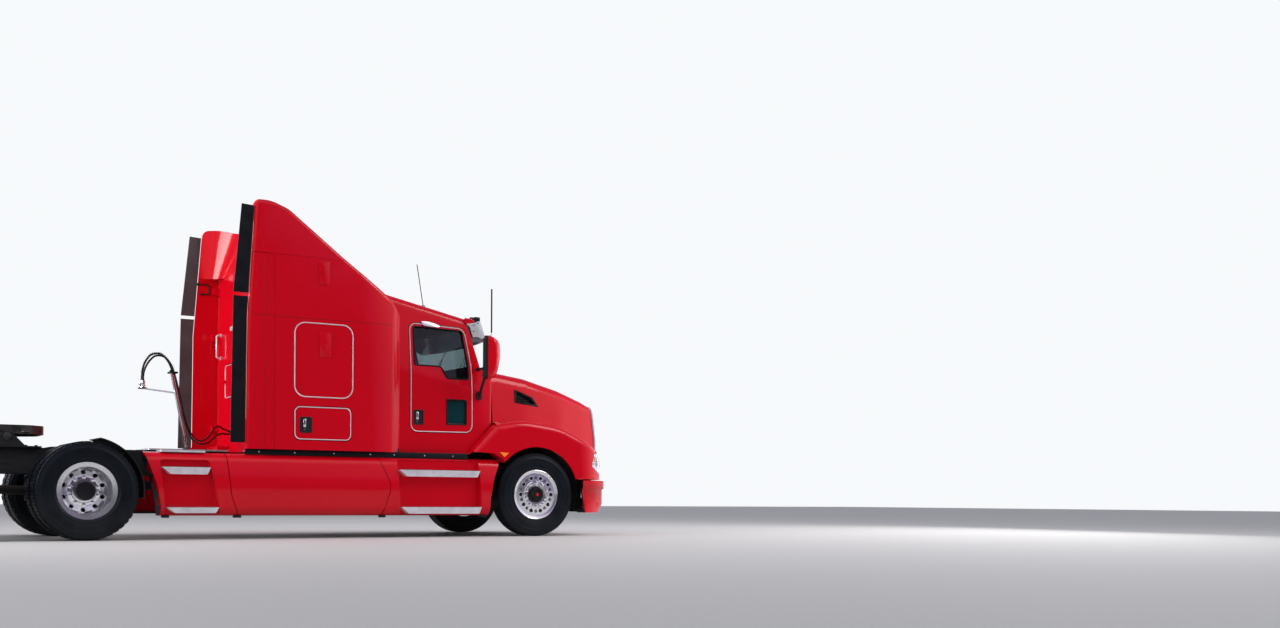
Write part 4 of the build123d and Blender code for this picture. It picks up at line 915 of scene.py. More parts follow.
def makeSeals(side, sleeper, door):
    sideName, look = sideNames[side], hatchLook
    radius, inset = look["sealRadius"], look["sealInset"] + 0.008
    # The upper panel, luggage door and cab door seals are pale silver: painted highlight along the rubber seals' edges
    seal = railPart(sideRow(sleeper, look["upper"], side, 0.001, look["upperCorner"]), radius + 0.0008, closed=True)
    finishShape(seal, f"upper_panel_seal_{sideName}", "silverAndSealHighlight", "chassis")
    seal = railPart(sideRow(sleeper, shrunkRow(look["lower"], inset), side, 0.0, 0.062), radius, closed=True)
    finishShape(seal, f"luggage_seal_{sideName}", "silverAndSealHighlight", f"luggage_door_{sideName}")
    seal = railPart(sideRow(door, shrunkRow(doorOutline, inset), side, 0.0, 0.085), radius, closed=True)
    finishShape(seal, f"door_seal_{sideName}", "silverAndSealHighlight", f"door_{sideName}")
    gaskets = [
        railPart(sideRow(door, shrunkRow(windowOutline, -0.006), side, -0.001, 0.028), 0.0085, closed=True),
        railPart(sideRow(door, shrunkRow(lowerWindow, -0.006), side, -0.001, 0.02), 0.0075, closed=True),
        railPart(sideRow(door, shrunkRow(lowerWindow, 0.010), side, -0.0135, 0.04), 0.0155, closed=True),
    ]
    finishShape(gather(*gaskets), f"window_gaskets_{sideName}", "blackRubber", f"door_{sideName}")


def makePanels(side, sleeper):
    # Raised plates, rivets and seams on the sleeper's side
    sideName, look = sideNames[side], hatchLook
    plates = [sidePlate(sleeper, look[name], 0.012, side, height) for name, height in look["plateHeights"].items()]
    finishShape(gather(*plates), f"panel_plates_{sideName}", "redPaint", "chassis", smooth=25)
    rivet = turnedPart([(0.0, 0.0045), (0.0045, 0.0036), (0.0070, 0.0), (0.0070, -0.002)], 10)
    places = [(x, 2.04 + 0.08 * k) for x in (0.185, 0.353) for k in range(4)]
    places += [(0.225, 2.317), (0.313, 2.317)]
    places += [(x, z) for x in (0.215, 0.303) for z in (2.853, 3.086)]
    places += [(-0.50 + look["rivetPitch"] * k, 3.118) for k in range(int(1.0 / look["rivetPitch"]))]
    turn = Matrix() if side > 0 else Matrix.Rotation(math.pi, 4, "Z")
    studs = stamp(bmesh.new(), rivet, [Matrix.Translation(onSide(sleeper, x, z, side)) @ turn for x, z in places])
    finishShape(studs, f"panel_studs_{sideName}", "redPaint", "chassis")

    level = [onSide(sleeper, -0.600 + 0.05 * k, look["seamHeight"], side, -0.0008) for k in range(36)]
    upright = [onSide(sleeper, look["seamX"], 1.0 + 0.05 * k, side, -0.0008) for k in range(43)]
    lines = gather(*[railPart(path, look["seamRadius"], sides=1) for path in (level, upright)])
    for vert in lines.verts:
        easeCorner(vert.co)
    finishShape(lines, f"sleeper_seams_{sideName}", "blackRubber", "chassis")


def makeLatch(side, tree, body, pocket):
    # A black bezel round a pocket with a bright paddle and lock
    x0, z0, x1, z1 = pocket
    ground = onSide(tree, x0 - 0.01, (z0 + z1) / 2, side).y
    edge = 0.006
    corners = [(x0 - edge, z0 - edge), (x1 + edge, z0 - edge), (x1 + edge, z1 + edge), (x0 - edge, z1 + edge)]
    path = [(point.x, ground, point.z) for point in flatOutline([(x, 0, z) for x, z in corners], 0.018)]
    floor = platePart([(x0, 0, z0), (x1, 0, z0), (x1, 0, z1), (x0, 0, z1)], 0.014, (0, 0.002, 0))
    bmesh.ops.translate(floor, vec=(0, ground + side * 0.0005, 0), verts=floor.verts)
    finishShape(gather(railPart(path, 0.007, closed=True), floor), f"{body}_bezel", "blackPlastic", body)
    middle = (x0 + x1) / 2 - 0.014
    lock = turnedPart([(0.0, 0.006), (0.010, 0.006), (0.0125, 0.003), (0.0125, -0.005)], 20)
    bmesh.ops.translate(lock, vec=(middle, 0, z0 + 0.026), verts=lock.verts)
    handle = boxPart((middle - 0.016, -0.004, z0 + 0.050), (middle + 0.016, 0.008, z1 - 0.014), 0.006, 3)
    paddle = gather(handle, lock)
    if side < 0:
        mirrored(paddle)
    bmesh.ops.translate(paddle, vec=(0, ground - side * 0.004, 0), verts=paddle.verts)
    finishShape(paddle, f"{body}_paddle", "brightMetal", body)


# A bright metal plate at the door window's top front is a painted highlight: it stands for the sun's glint on the
# door's top curve
def makeRainGuard(side, door):
    guard = platePart([(x, 0, z) for x, z in doorGlintOutline], 0.012, (0, 0.005, 0), 0.0015)
    base = onSide(door, 1.62, 2.51, side).y
    for vert in guard.verts:
        vert.co.y = base + side * (vert.co.y + 0.006 + (2.552 - vert.co.z) * 0.35)
    bmesh.ops.recalc_face_normals(guard, faces=guard.faces)
    finishShape(guard, f"door_glint_{sideNames[side]}", "brightMetal", f"door_{sideNames[side]}")


def makeSideTrim(side):
    sideName = sideNames[side]
    sleeper = surfaceTree("sleeper_sides", f"luggage_door_{sideName}", "side_extenders", "roof_fairing")
    door = surfaceTree(f"door_{sideName}")
    makeSeals(side, sleeper, door)
    makePanels(side, sleeper)
    for kind, tree in (("door", door), ("luggage_door", sleeper)):
        makeLatch(side, tree, f"{kind}_{sideName}", latchPockets[kind])
    makeRainGuard(side, door)


for side in sideNames:
    makeSideTrim(side)
print("side trim made")

# Mirror heads: black rim round a flat glass over a small round one; local x points forwards
mirrorLook = dict(place=(2.300, 1.292, 0), turn=22, face=-0.1045, half=0.1235, low=1.8835, high=2.3895, split=2.035)


def inMirror(shape):
    look = mirrorLook
    place = Matrix.Translation(look["place"]) @ Matrix.Rotation(math.radians(look["turn"]), 4, "Z")
    bmesh.ops.transform(shape, matrix=place, verts=shape.verts)
    return shape


def uprightPlate(x, half, low, high, radius, depth, bevel=0.0):
    return platePart([(x, -half, low), (x, half, low), (x, half, high), (x, -half, high)], radius, (depth, 0, 0), bevel)


def mirrorRim():
    look = mirrorLook
    x, half, low, high = look["face"], look["half"], look["low"], look["high"]
    rim = uprightPlate(x - 0.003, half, low, high, 0.034, 0.034, 0.003)
    edge = [(-half + 0.006, low + 0.006), (half - 0.006, low + 0.006), (half - 0.006, high - 0.006)]
    edge.append((-half + 0.006, high - 0.006))
    lip = railPart(flatOutline([(x - 0.003, y, z) for y, z in edge], 0.03), 0.0055, closed=True)
    split = boxPart((x - 0.007, -half + 0.01, look["split"] - 0.007), (x, half - 0.01, look["split"] + 0.007), 0.003)
    return inMirror(gather(rim, lip, split))


def mirrorPanes():
    look = mirrorLook
    x, half, split = look["face"] - 0.0055, look["half"] - 0.014, look["split"]
    upper = uprightPlate(x, half, split + 0.010, look["high"] - 0.014, 0.022, 0.004)
    lower = uprightPlate(x, half, look["low"] + 0.014, split - 0.010, 0.022, 0.004)
    return inMirror(gather(upper, lower))


def mirrorClamps():
    parts = [stubPart((2.212, 1.215, z - 0.016), (0, 0, 0.032), 0.021, 20, 0.003) for z in (1.93, 2.012)]
    parts.append(stubPart((2.214, 1.035, 2.012), (0, 0.017, 0), 0.026, 20, 0.004))
    parts += [stubPart((2.228, 1.058, z), (0, 0.010, 0), 0.009) for z in (1.665, 1.725)]
    return gather(*parts)


headPlan = [(-0.104, -0.1205, 0), (-0.104, 0.1205, 0), (0.030, 0.1185, 0), (0.086, 0, 0), (0.030, -0.1185, 0)]
headLevels = [
    # share of the height, forward reach, width
    (0.0, 0.42, 0.84), (0.03, 0.60, 0.95), (0.08, 0.72, 1.0), (0.18, 0.83, 1.0), (0.32, 0.93, 1.0), (0.50, 1.0, 1.0),
    (0.70, 1.0, 1.0), (0.82, 0.96, 1.0), (0.90, 0.86, 1.0), (0.96, 0.68, 0.97), (1.0, 0.44, 0.86),
]


def mirrorHead():
    plan, back = flatOutline(headPlan, 0.032), headPlan[0][0]
    shape, rings = bmesh.new(), []
    for share, reach, width in headLevels:
        z = 1.885 + 0.503 * share
        rings.append([shape.verts.new((back + (p.x - back) * reach, p.y * width, z)) for p in plan])
    return inMirror(skinRows(shape, rings))


heads = gather(mirrorHead(), mirrored(mirrorHead()))
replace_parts(finishShape(heads, "mirror_heads", "redPaint", bodyOf("mirror_shells"), smooth=60), "mirror_shells")
bothSides(mirrorRim, "mirror_rim", "blackPlastic", bodyOf("mirror_shells"))
bothSides(mirrorPanes, "mirror_panes", "mirrorGlass", bodyOf("mirror_shells"))
bothSides(mirrorClamps, "mirror_clamps", "blackPlastic", bodyOf("mirror_arms"))
print("mirrors made")


# Nose: vent louvres, lamps, grille mesh, arch liners, markers
ventLook = dict(
    panel=[(2.775, 0.878, 1.622), (3.110, 0.822, 1.600), (3.045, 0.828, 1.728), (2.775, 0.872, 1.812)],
    firstSlat=1.652, slatPitch=0.024, slats=6, slatRadius=0.005,
)


def ventSlats():
    look, slats = ventLook, []
    for k in range(look["slats"]):
        z = look["firstSlat"] + look["slatPitch"] * k
        end = 3.095 - (z - 1.628) * 0.94 if z < 1.708 else 3.020 - (z - 1.708) * 2.74
        slats.append(rodPart((2.785, 0.886, z), (end, 0.886 - (end - 2.785) * 0.172, z), look["slatRadius"], sides=8))
    return gather(*slats)


noseLook = dict(
    ventRims=[
        [(2.770, 1.808), (2.768, 1.640), (3.135, 1.606), (3.040, 1.722)],
        [(2.800, 1.784), (2.797, 1.660), (3.085, 1.636), (3.016, 1.703)],
    ],
    strip=[
        (4.126, 0.556, 1.075), (4.130, 0.553, 1.20), (4.120, 0.549, 1.30), (4.109, 0.547, 1.40), (4.097, 0.545, 1.50),
        (4.085, 0.540, 1.600), (4.076, 0.524, 1.636), (4.070, 0.490, 1.652),
    ],
    brow=[
        (3.845, 1.076, 1.040), (3.848, 1.035, 1.066), (3.866, 0.972, 1.062), (3.903, 0.905, 1.036),
        (3.943, 0.850, 1.006), (3.983, 0.790, 0.976), (4.008, 0.740, 0.944),
    ],
    stripRadius=0.017, browRadius=0.0135,
)


def ventRim():
    # A flat black surround on the hood's side
    tree, rows = surfaceTree("hood_shell"), []
    for corners in noseLook["ventRims"]:
        row = flatOutline([(x, 0, z) for x, z in corners], 0.012)
        rows.append([row[k - 1].lerp(row[k], step / 6) for k in range(len(row)) for step in range(6)])
    shape, outer, inner = bmesh.new(), [], []
    for near, far in zip(*rows):
        ground = onSide(tree, near.x, near.z, 1, -0.001)
        outer.append(shape.verts.new(ground))
        inner.append(shape.verts.new((far.x, ground.y - 0.16 * (far.x - near.x), far.z)))
    faces = [shape.faces.new([outer[k - 1], outer[k], inner[k], inner[k - 1]]) for k in range(len(outer))]
    made = bmesh.ops.extrude_face_region(shape, geom=faces)["geom"]
    bmesh.ops.translate(shape, vec=(0, 0.005, 0), verts=vertsOf(made))
    return shape


def hoodEdge():
    # Carries the hood's side back to the cab between the shoulder and the fender
    tree = surfaceTree("hood_shell")
    shape, rows = bmesh.new(), []
    for k in range(16):
        z = 1.300 + 0.672 * k / 15
        near, far = onSide(tree, 2.506, z, 1).y, onSide(tree, 2.570, z, 1).y
        rear = near + (near - far) * 65 / 64
        points = [(2.441, rear), (2.503, near), (2.503, near - 0.022), (2.441, rear - 0.022)]
        rows.append([shape.verts.new((x, y, z)) for x, y in points])
    return skinRows(shape, rows)


bothSides(lambda: platePart(ventLook["panel"], 0.0, (0, -0.004, 0)), "vent_panel", "blackRubber", "hood")
bothSides(ventSlats, "vent_slats", "blackRubber", "hood")
bothSides(
    lambda: railPart(noseLook["strip"], noseLook["stripRadius"], smooth=True), "nose_strip", "silverAndSealHighlight", "hood"
)
bothSides(lambda: railPart(noseLook["brow"], noseLook["browRadius"], smooth=True), "lamp_brow", "redPaint", "hood")
bothSides(ventRim, "vent_rim", "blackRubber", "hood")
bothSides(hoodEdge, "hood_edge", "redPaint", "hood")

lampLook = dict(
    bowls=[(0.790, 0.880, 0.062), (0.945, 0.925, 0.058)], depth=0.055, signal=(1.075, 0.960), signalSize=0.034,
    bucketShift=(-0.048, -0.020, 0.0), bucketScale=0.985,
)


def lampBucket():
    # The lens's own shape, moved back into the lamp, as its bright reflector
    shape = bmesh.new()
    shape.from_mesh(frame["nodes"]["headlamps"].data)
    bmesh.ops.remove_doubles(shape, verts=shape.verts, dist=0.00002)
    bmesh.ops.delete(shape, geom=[v for v in shape.verts if v.co.y < 0], context="VERTS")
    middle = sum((v.co for v in shape.verts), Vector()) / len(shape.verts)
    for vert in shape.verts:
        vert.co = middle + (vert.co - middle) * lampLook["bucketScale"] + Vector(lampLook["bucketShift"])
    return shape


def lampBowls():
    tree = surfaceTree("headlamps")
    bowl = turnedPart([
        (0.0, -0.012), (0.35, -0.010), (0.72, 0.0), (0.94, 0.018), (1.0, 0.020), (1.06, 0.012), (1.06, -0.02),
    ])
    shape = bmesh.new()
    for y, z, radius in lampLook["bowls"]:
        front = onFace(tree, (4.0, y, z), (-1, 0, 0), -lampLook["depth"])
        turn = Matrix.Rotation(math.radians(-90), 4, "Z") @ Matrix.Diagonal((radius, 1, radius, 1))
        stamp(shape, bowl, [Matrix.Translation(front) @ turn])
    bowl.free()
    return shape


def lampSignal():
    tree = surfaceTree("headlamps")
    y, z = lampLook["signal"]
    spot, size = onFace(tree, (4.0, y, z), (-1, 0, 0), -lampLook["depth"]), lampLook["signalSize"]
    return boxPart(spot - Vector((0.012, size * 0.7, size)), spot + Vector((0.008, size * 0.7, size)), 0.006)


bothSides(lampBucket, "lamp_reflector", "brightMetal", "hood")
bothSides(lampBowls, "lamp_bowls", "mirrorGlass", "hood")
bothSides(lampSignal, "lamp_signal", "amberLens", "hood")

grilleLook = dict(
    pitch=0.0125, half=0.385, wire=0.0012, low=0.800, middle=1.120, high=1.530, rows=56, back=0.026, rim=0.014,
    rimRows=[(0.405, 0.775), (0.434, 1.180), (0.405, 1.562), (-0.405, 1.562), (-0.434, 1.180), (-0.405, 0.775)],
)


def grilleX(z):
    # The screen leans back above and below the nose's foremost height
    lean = 0.085 if z < grilleLook["middle"] else 0.125
    return 4.062 - abs(z - grilleLook["middle"]) * lean - grilleLook["back"]


def grilleMesh():
    look, wires = grilleLook, []
    count, heights = int(look["half"] / look["pitch"]), (look["low"], look["middle"], look["high"])
    for k in range(-count, count + 1):
        wires.append(railPart([(grilleX(z), look["pitch"] * k, z) for z in heights], look["wire"], sides=0))
    for k in range(look["rows"]):
        z = look["low"] + (look["high"] - look["low"]) * k / (look["rows"] - 1)
        wires.append(railPart([(grilleX(z), y, z) for y in (-look["half"], look["half"])], look["wire"], sides=0))
    return gather(*wires)


def grilleRim():
    look = grilleLook
    corners = [(4.1, y, z) for y, z in look["rimRows"]]
    path = faceRow(surfaceTree("hood_shell", "grille"), corners, (-1, 0, 0), 0.0, 0.055, 0.03)
    for point in path:
        point.x = min(point.x, 4.149 - look["rim"])
    return railPart(path, look["rim"], closed=True, sides=3)


finishShape(grilleMesh(), "grille_mesh", "blackPlastic", bodyOf("grille"))
finishShape(grilleRim(), "grille_rim", "brightMetal", "hood")

linerLook = dict(
    centre=(2.945, 0, 0.500), radius=0.624, thickness=0.006, ribHeight=0.004, inner=0.640, outer=1.120,
    start=-4, end=118, steps=30,
)


def archLiner():
    look = linerLook
    shape, rows, centre = bmesh.new(), [], Vector(look["centre"])
    for k in range(look["steps"] + 1):
        angle = math.radians(look["start"] + (look["end"] - look["start"]) * k / look["steps"])
        direction = Vector((math.cos(angle), 0, math.sin(angle)))
        inside = centre + direction * (look["radius"] + (0 if k % 5 else look["ribHeight"]))
        outside = centre + direction * (look["radius"] + look["thickness"])
        ends = ((inside, "inner"), (inside, "outer"), (outside, "outer"), (outside, "inner"))
        rows.append([shape.verts.new(base + Vector((0, look[end], 0))) for base, end in ends])
    return skinRows(shape, rows)


def frontShield():
    # Black wall between the arch and the bumper's inside
    return boxPart((3.576, 0.560, 0.720), (3.584, 1.160, 1.020), 0.002)


bothSides(lambda: gather(archLiner(), frontShield()), "arch_liner", "blackRubber", "hood")

markerRows = [(2.440, 1.016), (2.556, 1.010), (2.500, 0.958)]
hoodSide = surfaceTree("hood_shell")
for side, sideName in sideNames.items():
    marker = sidePlate(hoodSide, markerRows, 0.008, side, 0.006, bevel=0.002)
    finishShape(marker, f"fender_marker_{sideName}", "amberLens", "hood")

fogLook = dict(
    x=4.052, y=0.640, z=0.530,
    ring=[(0.040, -0.01), (0.040, 0.016), (0.044, 0.019), (0.048, 0.016), (0.048, -0.01)],
    glass=[(0.0, 0.012), (0.020, 0.011), (0.034, 0.006), (0.041, -0.004), (0.0, -0.004)],
)


def fogHousing():
    x, y, z = (fogLook[key] for key in "xyz")
    plan = [(y - 0.128, z - 0.066), (y + 0.128, z - 0.066), (y + 0.128, z + 0.066), (y - 0.128, z + 0.066)]
    back = platePart([(x - 0.030, across, up) for across, up in plan], 0.012, (-0.006, 0, 0))
    heights = (-0.034, -0.017, 0.0, 0.017, 0.034)
    return gather(back, *[stubPart((x - 0.022, y - 0.115, z + up), (0, 0.230, 0), 0.004, 8, 0) for up in heights])


def fogRing(profile):
    shape = turnedPart(profile, 32)
    place = Matrix.Translation([fogLook["x"] - 0.022, fogLook["y"], fogLook["z"]])
    bmesh.ops.transform(shape, matrix=place @ Matrix.Rotation(math.radians(-90), 4, "Z"), verts=shape.verts)
    return shape


bothSides(fogHousing, "fog_housing", "blackPlastic", "chassis")
bothSides(lambda: fogRing(fogLook["ring"]), "fog_ring", "brightMetal", "chassis")
bothSides(lambda: fogRing(fogLook["glass"]), "fog_lens", "mirrorGlass", "chassis")

slotLook = dict(front=4.108, bow=0.020, half=0.33, low=0.474, high=0.586, pitch=0.0125, rowPitch=0.0130, wire=0.0015)


def slotX(y):
    return slotLook["front"] - slotLook["bow"] * (abs(y) / slotLook["half"]) ** 2


def slotMesh():
    look, bars = slotLook, []
    for k in range(-26, 27):
        y = look["pitch"] * k
        bars.append(railPart([(slotX(y), y, look["low"]), (slotX(y), y, look["high"])], look["wire"], sides=0))
    for k in range(9):
        z = look["low"] + 0.004 + look["rowPitch"] * k
        bars.append(railPart([(slotX(y), y, z) for y in (-0.335, -0.2, 0.0, 0.2, 0.335)], look["wire"], sides=0))
    return gather(*bars)


finishShape(slotMesh(), "bumper_mesh", "blackPlastic", "chassis")
print("nose made")


# Screen border, wipers, roof lamps, visor trim
screenLook = dict(
    corners=[(2.3, 0.885, 2.090), (2.3, 0.806, 2.550), (2.3, -0.806, 2.550), (2.3, -0.885, 2.090)], corner=0.065,
    bead=0.011, wiperFeet=(0.62, -0.16), armRadius=0.006, bladeRadius=0.0045, roofLamps=(-0.62, -0.15, 0.0, 0.15, 0.62),
)


def wiperParts(tree, foot):
    rearward = (-1, 0, 0)
    knuckle = onFace(tree, (2.4, foot, 2.060), rearward, 0.014)
    middle = onFace(tree, (2.4, foot - 0.25, 2.190), rearward, 0.024)
    tip = onFace(tree, (2.4, foot - 0.34, 2.235), rearward, 0.016)
    base = stubPart(knuckle - Vector((0.02, 0, 0.004)), (0.032, 0, 0.008), 0.018, 20, 0.003)
    arm = [knuckle, (knuckle + middle) / 2 + Vector((0.008, 0, 0)), middle, tip]
    blade = [(2.4, foot - 0.34 + 0.15 * k, 2.235 - 0.0625 * k) for k in range(-2, 3)]
    blade = [onFace(tree, point, rearward, 0.008) for point in blade]
    return [base, railPart(arm, screenLook["armRadius"]), railPart(blade, screenLook["bladeRadius"])]


def makeScreenTrim():
    look = screenLook
    tree = surfaceTree("windshield", "cowl", "cab_roof", "cab_sides")
    border = faceRow(tree, look["corners"], (-1, 0, 0), 0.0, look["corner"], 0.04)
    finishShape(railPart(border, look["bead"], closed=True), "screen_bead", "blackRubber", "chassis")
    wipers = [part for foot in look["wiperFeet"] for part in wiperParts(tree, foot)]
    finishShape(gather(*wipers), "wipers", "blackPlastic", "chassis")

    roof = surfaceTree("cab_roof", "cab_sides", "visor")
    bases, lenses = [], []
    for y in look["roofLamps"]:
        spot = onFace(roof, (2.18, y, 2.7), (0, 0, -1), 0.0)
        bases.append(boxPart(spot - Vector((0.045, 0.032, 0.012)), spot + Vector((0.040, 0.032, 0.006)), 0.004))
        lenses.append(boxPart(spot - Vector((0.036, 0.026, 0.006)), spot + Vector((0.036, 0.026, 0.024)), 0.012, 4))
    finishShape(gather(*bases), "roof_lamp_bases", "blackPlastic", "chassis")
    finishShape(gather(*lenses), "roof_lamps", "amberLens", "chassis")


visorLook = dict(
    end=[
        (2.100, 2.562), (2.189, 2.576), (2.227, 2.590), (2.276, 2.622), (2.313, 2.512), (2.3405, 2.427),
        (2.326, 2.386), (2.242, 2.412), (2.180, 2.406), (2.159, 2.485), (2.136, 2.527),
    ],
    roofEnd=[(2.078, 2.561), (2.190, 2.578), (2.203, 2.598), (2.188, 2.614), (2.125, 2.628), (2.078, 2.632)],
    bolts=[(2.19, 2.475), (2.19, 2.555), (2.25, 2.580)],
)


def visorEnds():
    return platePart([(x, 0.9575, z) for x, z in visorLook["end"]], 0.006, (0, 0.005, 0), 0.0012)


def roofEnds():
    return platePart([(x, 0.930, z) for x, z in visorLook["roofEnd"]], 0.008, (0, 0.029, 0), 0.005)


def visorTrim():
    bolts = [stubPart((x, 0.960, z), (0, 0.007, 0), 0.008) for x, z in visorLook["bolts"]]
    return gather(*bolts, boxPart((2.200, 0.885, 2.598), (2.278, 0.966, 2.654), 0.012, 3))


makeScreenTrim()
bothSides(visorTrim, "visor_trim", "hubBlack", bodyOf("visor"))
bothSides(visorEnds, "visor_ends", "silverAndSealHighlight", bodyOf("visor"))
bothSides(roofEnds, "roof_ends", "redPaint", bodyOf("cab_roof"))

# Black band for the shade in the gap under the cab (painted shade), frame bolts, fairing blocks and serrated treads
gapLook = dict(
    low=(-0.600, 1.092, 0.922), high=(2.060, 1.106, 0.990), bolts=(-0.45, -0.05, 0.40, 0.83, 1.12, 1.50, 1.86),
    blocks=((-0.715, -0.640), (0.955, 1.020), (-1.470, -1.400), (2.230, 2.300)),
)


def gapBolts():
    return gather(*[stubPart((x, 1.100, 0.956), (0, 0.012, 0), 0.008, 8) for x in gapLook["bolts"]])


def fairingBlocks():
    return gather(*[boxPart((low, 1.040, 0.232), (high, 1.120, 0.262), 0.006) for low, high in gapLook["blocks"]])


# A thin black strip along the gap under the cab is painted shade: it stands for the shadow in that gap and blocks the
# view through it
bothSides(lambda: boxPart(gapLook["low"], gapLook["high"], 0.003), "gap_shade_band", "blackRubber", "chassis")
bothSides(gapBolts, "gap_bolts", "brightMetal", "chassis")
bothSides(fairingBlocks, "fairing_blocks", "blackPlastic", "chassis")

treadRows = [(1.150, 2.170, 0.784), (1.178, 2.194, 0.352), (-1.496, -0.994, 0.771), (-1.450, -0.904, 0.343)]
toothLook = dict(pitch=0.019, length=0.010, height=0.0055, inner=1.128, outer=1.2165)


def treadTeeth():
    look = toothLook
    tooth = boxPart((-look["length"] / 2, look["inner"], -0.003), (look["length"] / 2, look["outer"], look["height"]))
    shape = bmesh.new()
    for low, high, top in treadRows:
        count = int((high - low - 0.03) / look["pitch"])
        stamp(shape, tooth, [Matrix.Translation((low + 0.02 + look["pitch"] * k, 0, top)) for k in range(count)])
        edge = boxPart(
            (low + 0.012, look["outer"] - 0.006, top - 0.004), (high - 0.012, look["outer"], top + look["height"])
        )
        stamp(shape, edge)
        edge.free()
    tooth.free()
    return shape


bothSides(treadTeeth, "tread_teeth", "brightMetal", bodyOf("tread_plates"), smooth=20)

boltLook = dict(
    stations=[1.250, 0.150, -0.900, -1.700, -2.890, -4.060, 2.250, 3.650, -2.000, -3.320],
    apart=(-0.03, 0.03), heights=(0.735, 0.800, 0.865, 0.925),
)


def frameBolts():
    look = boltLook
    bolt = gather(rodPart((0, 0, 0), (0, 0.003, 0), 0.016, sides=12), stubPart((0, 0.002, 0), (0, 0.011, 0), 0.0125))
    places = [(x + shift, 0.432, z) for x in look["stations"] for shift in look["apart"] for z in look["heights"]]
    shape = stamp(bmesh.new(), bolt, [Matrix.Translation(place) for place in places])
    bolt.free()
    return shape


bothSides(frameBolts, "frame_bolts", "chassisPaint", "chassis")
print("chassis trim made")


# Back wall: hatch seal, grab bar, plate, foot box
def makeBackWall():
    back = surfaceTree("sleeper_back", "back_hatch")
    rows = [(-0.3, 0.345, 1.665), (-0.3, 0.805, 1.665), (-0.3, 0.805, 2.055), (-0.3, 0.345, 2.055)]
    # The back hatch seal is pale silver: painted highlight along its rubber edge
    seal = railPart(faceRow(back, rows, (1, 0, 0), 0.0, 0.045), 0.006, closed=True)
    finishShape(seal, "back_hatch_seal", "silverAndSealHighlight", "back_hatch")
    bar = railPart([
        (-0.302, 1.010, 2.168), (-0.335, 1.010, 2.168), (-0.352, 1.010, 2.185), (-0.352, 1.010, 2.430),
        (-0.335, 1.010, 2.447), (-0.302, 1.010, 2.447),
    ], 0.0125, sides=4)
    feet = [stubPart((-0.300, 1.010, z), (-0.006, 0, 0), 0.024, 20, 0.002) for z in (2.168, 2.447)]
    finishShape(gather(bar, *feet), "grab_bar", "silverAndSealHighlight", "chassis")
    plate = uprightPlate(-0.300, 0.100, 2.462, 2.512, 0.008, -0.004, 0.001)
    bmesh.ops.translate(plate, vec=(0, 0.500, 0), verts=plate.verts)
    finishShape(plate, "wall_plate", "silverAndSealHighlight", "chassis")
    box = boxPart((-0.440, 0.640, 1.000), (-0.299, 1.070, 1.075), 0.010)
    finishShape(box, "wall_foot_box", "redPaint", "chassis")
    rows = [(-0.300, y, z) for y in (-1.05, -0.35, 0.36, 1.05) for z in (1.10, 1.52, 2.14, 2.66, 3.05)]
    rivet = turnedPart([(0.0, 0.0032), (0.0035, 0.0026), (0.0055, 0.0), (0.0055, -0.002)], 10)
    turn = Matrix.Rotation(math.radians(90), 4, "Z")
    studs = stamp(bmesh.new(), rivet, [Matrix.Translation(place) @ turn for place in rows])
    rivet.free()
    finishShape(studs, "wall_rivets", "redPaint", "chassis")


makeBackWall()

bracketPath = [
    (-0.555, 1.110, 3.072), (-0.432, 1.110, 3.072), (-0.415, 1.110, 3.055), (-0.415, 1.112, 2.972),
    (-0.432, 1.112, 2.955), (-0.510, 1.112, 2.955),
]


def extenderBracket():
    feet = [stubPart((x, 1.106, z), (0, 0.020, 0), 0.016, 12, 0.002) for x, z in ((-0.555, 3.072), (-0.510, 2.955))]
    return gather(railPart(bracketPath, 0.008), *feet)


bothSides(extenderBracket, "extender_bracket", "blackPlastic", "chassis")

# Pogo stick: foot spring, hose clips, wraps round the hoses; sockets and parked fittings
stickFoot, stickTop = Vector((-1.080, -0.540, 0.983)), Vector((-1.255, -0.540, 1.850))


def coil(path, radius, wire, turns, steps=14):
    # A helix about the straight runs of a path
    points = []
    lengths = [(b - a).length for a, b in zip(path, path[1:])]
    total, count = sum(lengths), int(turns * steps)
    for k in range(count + 1):
        along, run = total * k / count, 0
        while run < len(lengths) - 1 and along > lengths[run]:
            along -= lengths[run]
            run += 1
        start, end = path[run], path[run + 1]
        axis = (end - start).normalized()
        across = axis.cross(Vector((0, 1, 0))).normalized()
        angle = 2 * math.pi * k / steps
        centre = start.lerp(end, along / lengths[run])
        points.append(centre + radius * (math.cos(angle) * across + math.sin(angle) * axis.cross(across)))
    return railPart(points, wire, sides=1)


def makeStickTrim():
    axis = (stickTop - stickFoot).normalized()
    spring = coil([stickFoot + axis * 0.02, stickFoot + axis * 0.16], 0.025, 0.0045, 9)
    corners = ((0.034, 0), (-0.034, 0), (0, 0.034), (0, -0.034))
    bolts = [stubPart((-1.080 + x, -0.540 + y, 0.998), (0, 0, 0.011), 0.008) for x, y in corners]
    finishShape(gather(spring, *bolts), "stick_spring", "castSteel", "chassis")
    rings, collars = [], []
    for node, route in lineRoutes.items():
        wrap = coil([Vector(point) for point in route[9:17]], 0.0118, 0.0022, 46, 10)
        finishShape(wrap, f"{node}_wrap", "hoseWrap", "chassis")
        y, z = route[0][1:]
        rings.append(stubPart((-0.301, y, z), (-0.006, 0, 0), 0.032, 24, 0.002))
        collars.append(stubPart((-0.338, y, z), (-0.024, 0, -0.001), 0.0145))
        x, y, z = route[-1]
        collars.append(stubPart((x, y, z - 0.002), (0, 0, 0.024), 0.0145))
        rings.append(stubPart((x, y, z - 0.055), (0, 0, 0.008), 0.026, 24, 0.002))
    finishShape(gather(*rings), "line_flanges", "brightMetal", "chassis")
    finishShape(gather(*collars), "line_collars", "castSteel", "chassis")


makeStickTrim()
print("back made")

# Cab inside: padded seats and bunk, seat stands, instruments, controls
cushionLook = dict(cuts=23, corner=5.0, crown=0.16, seamWidth=0.035, seamDepth=0.10)


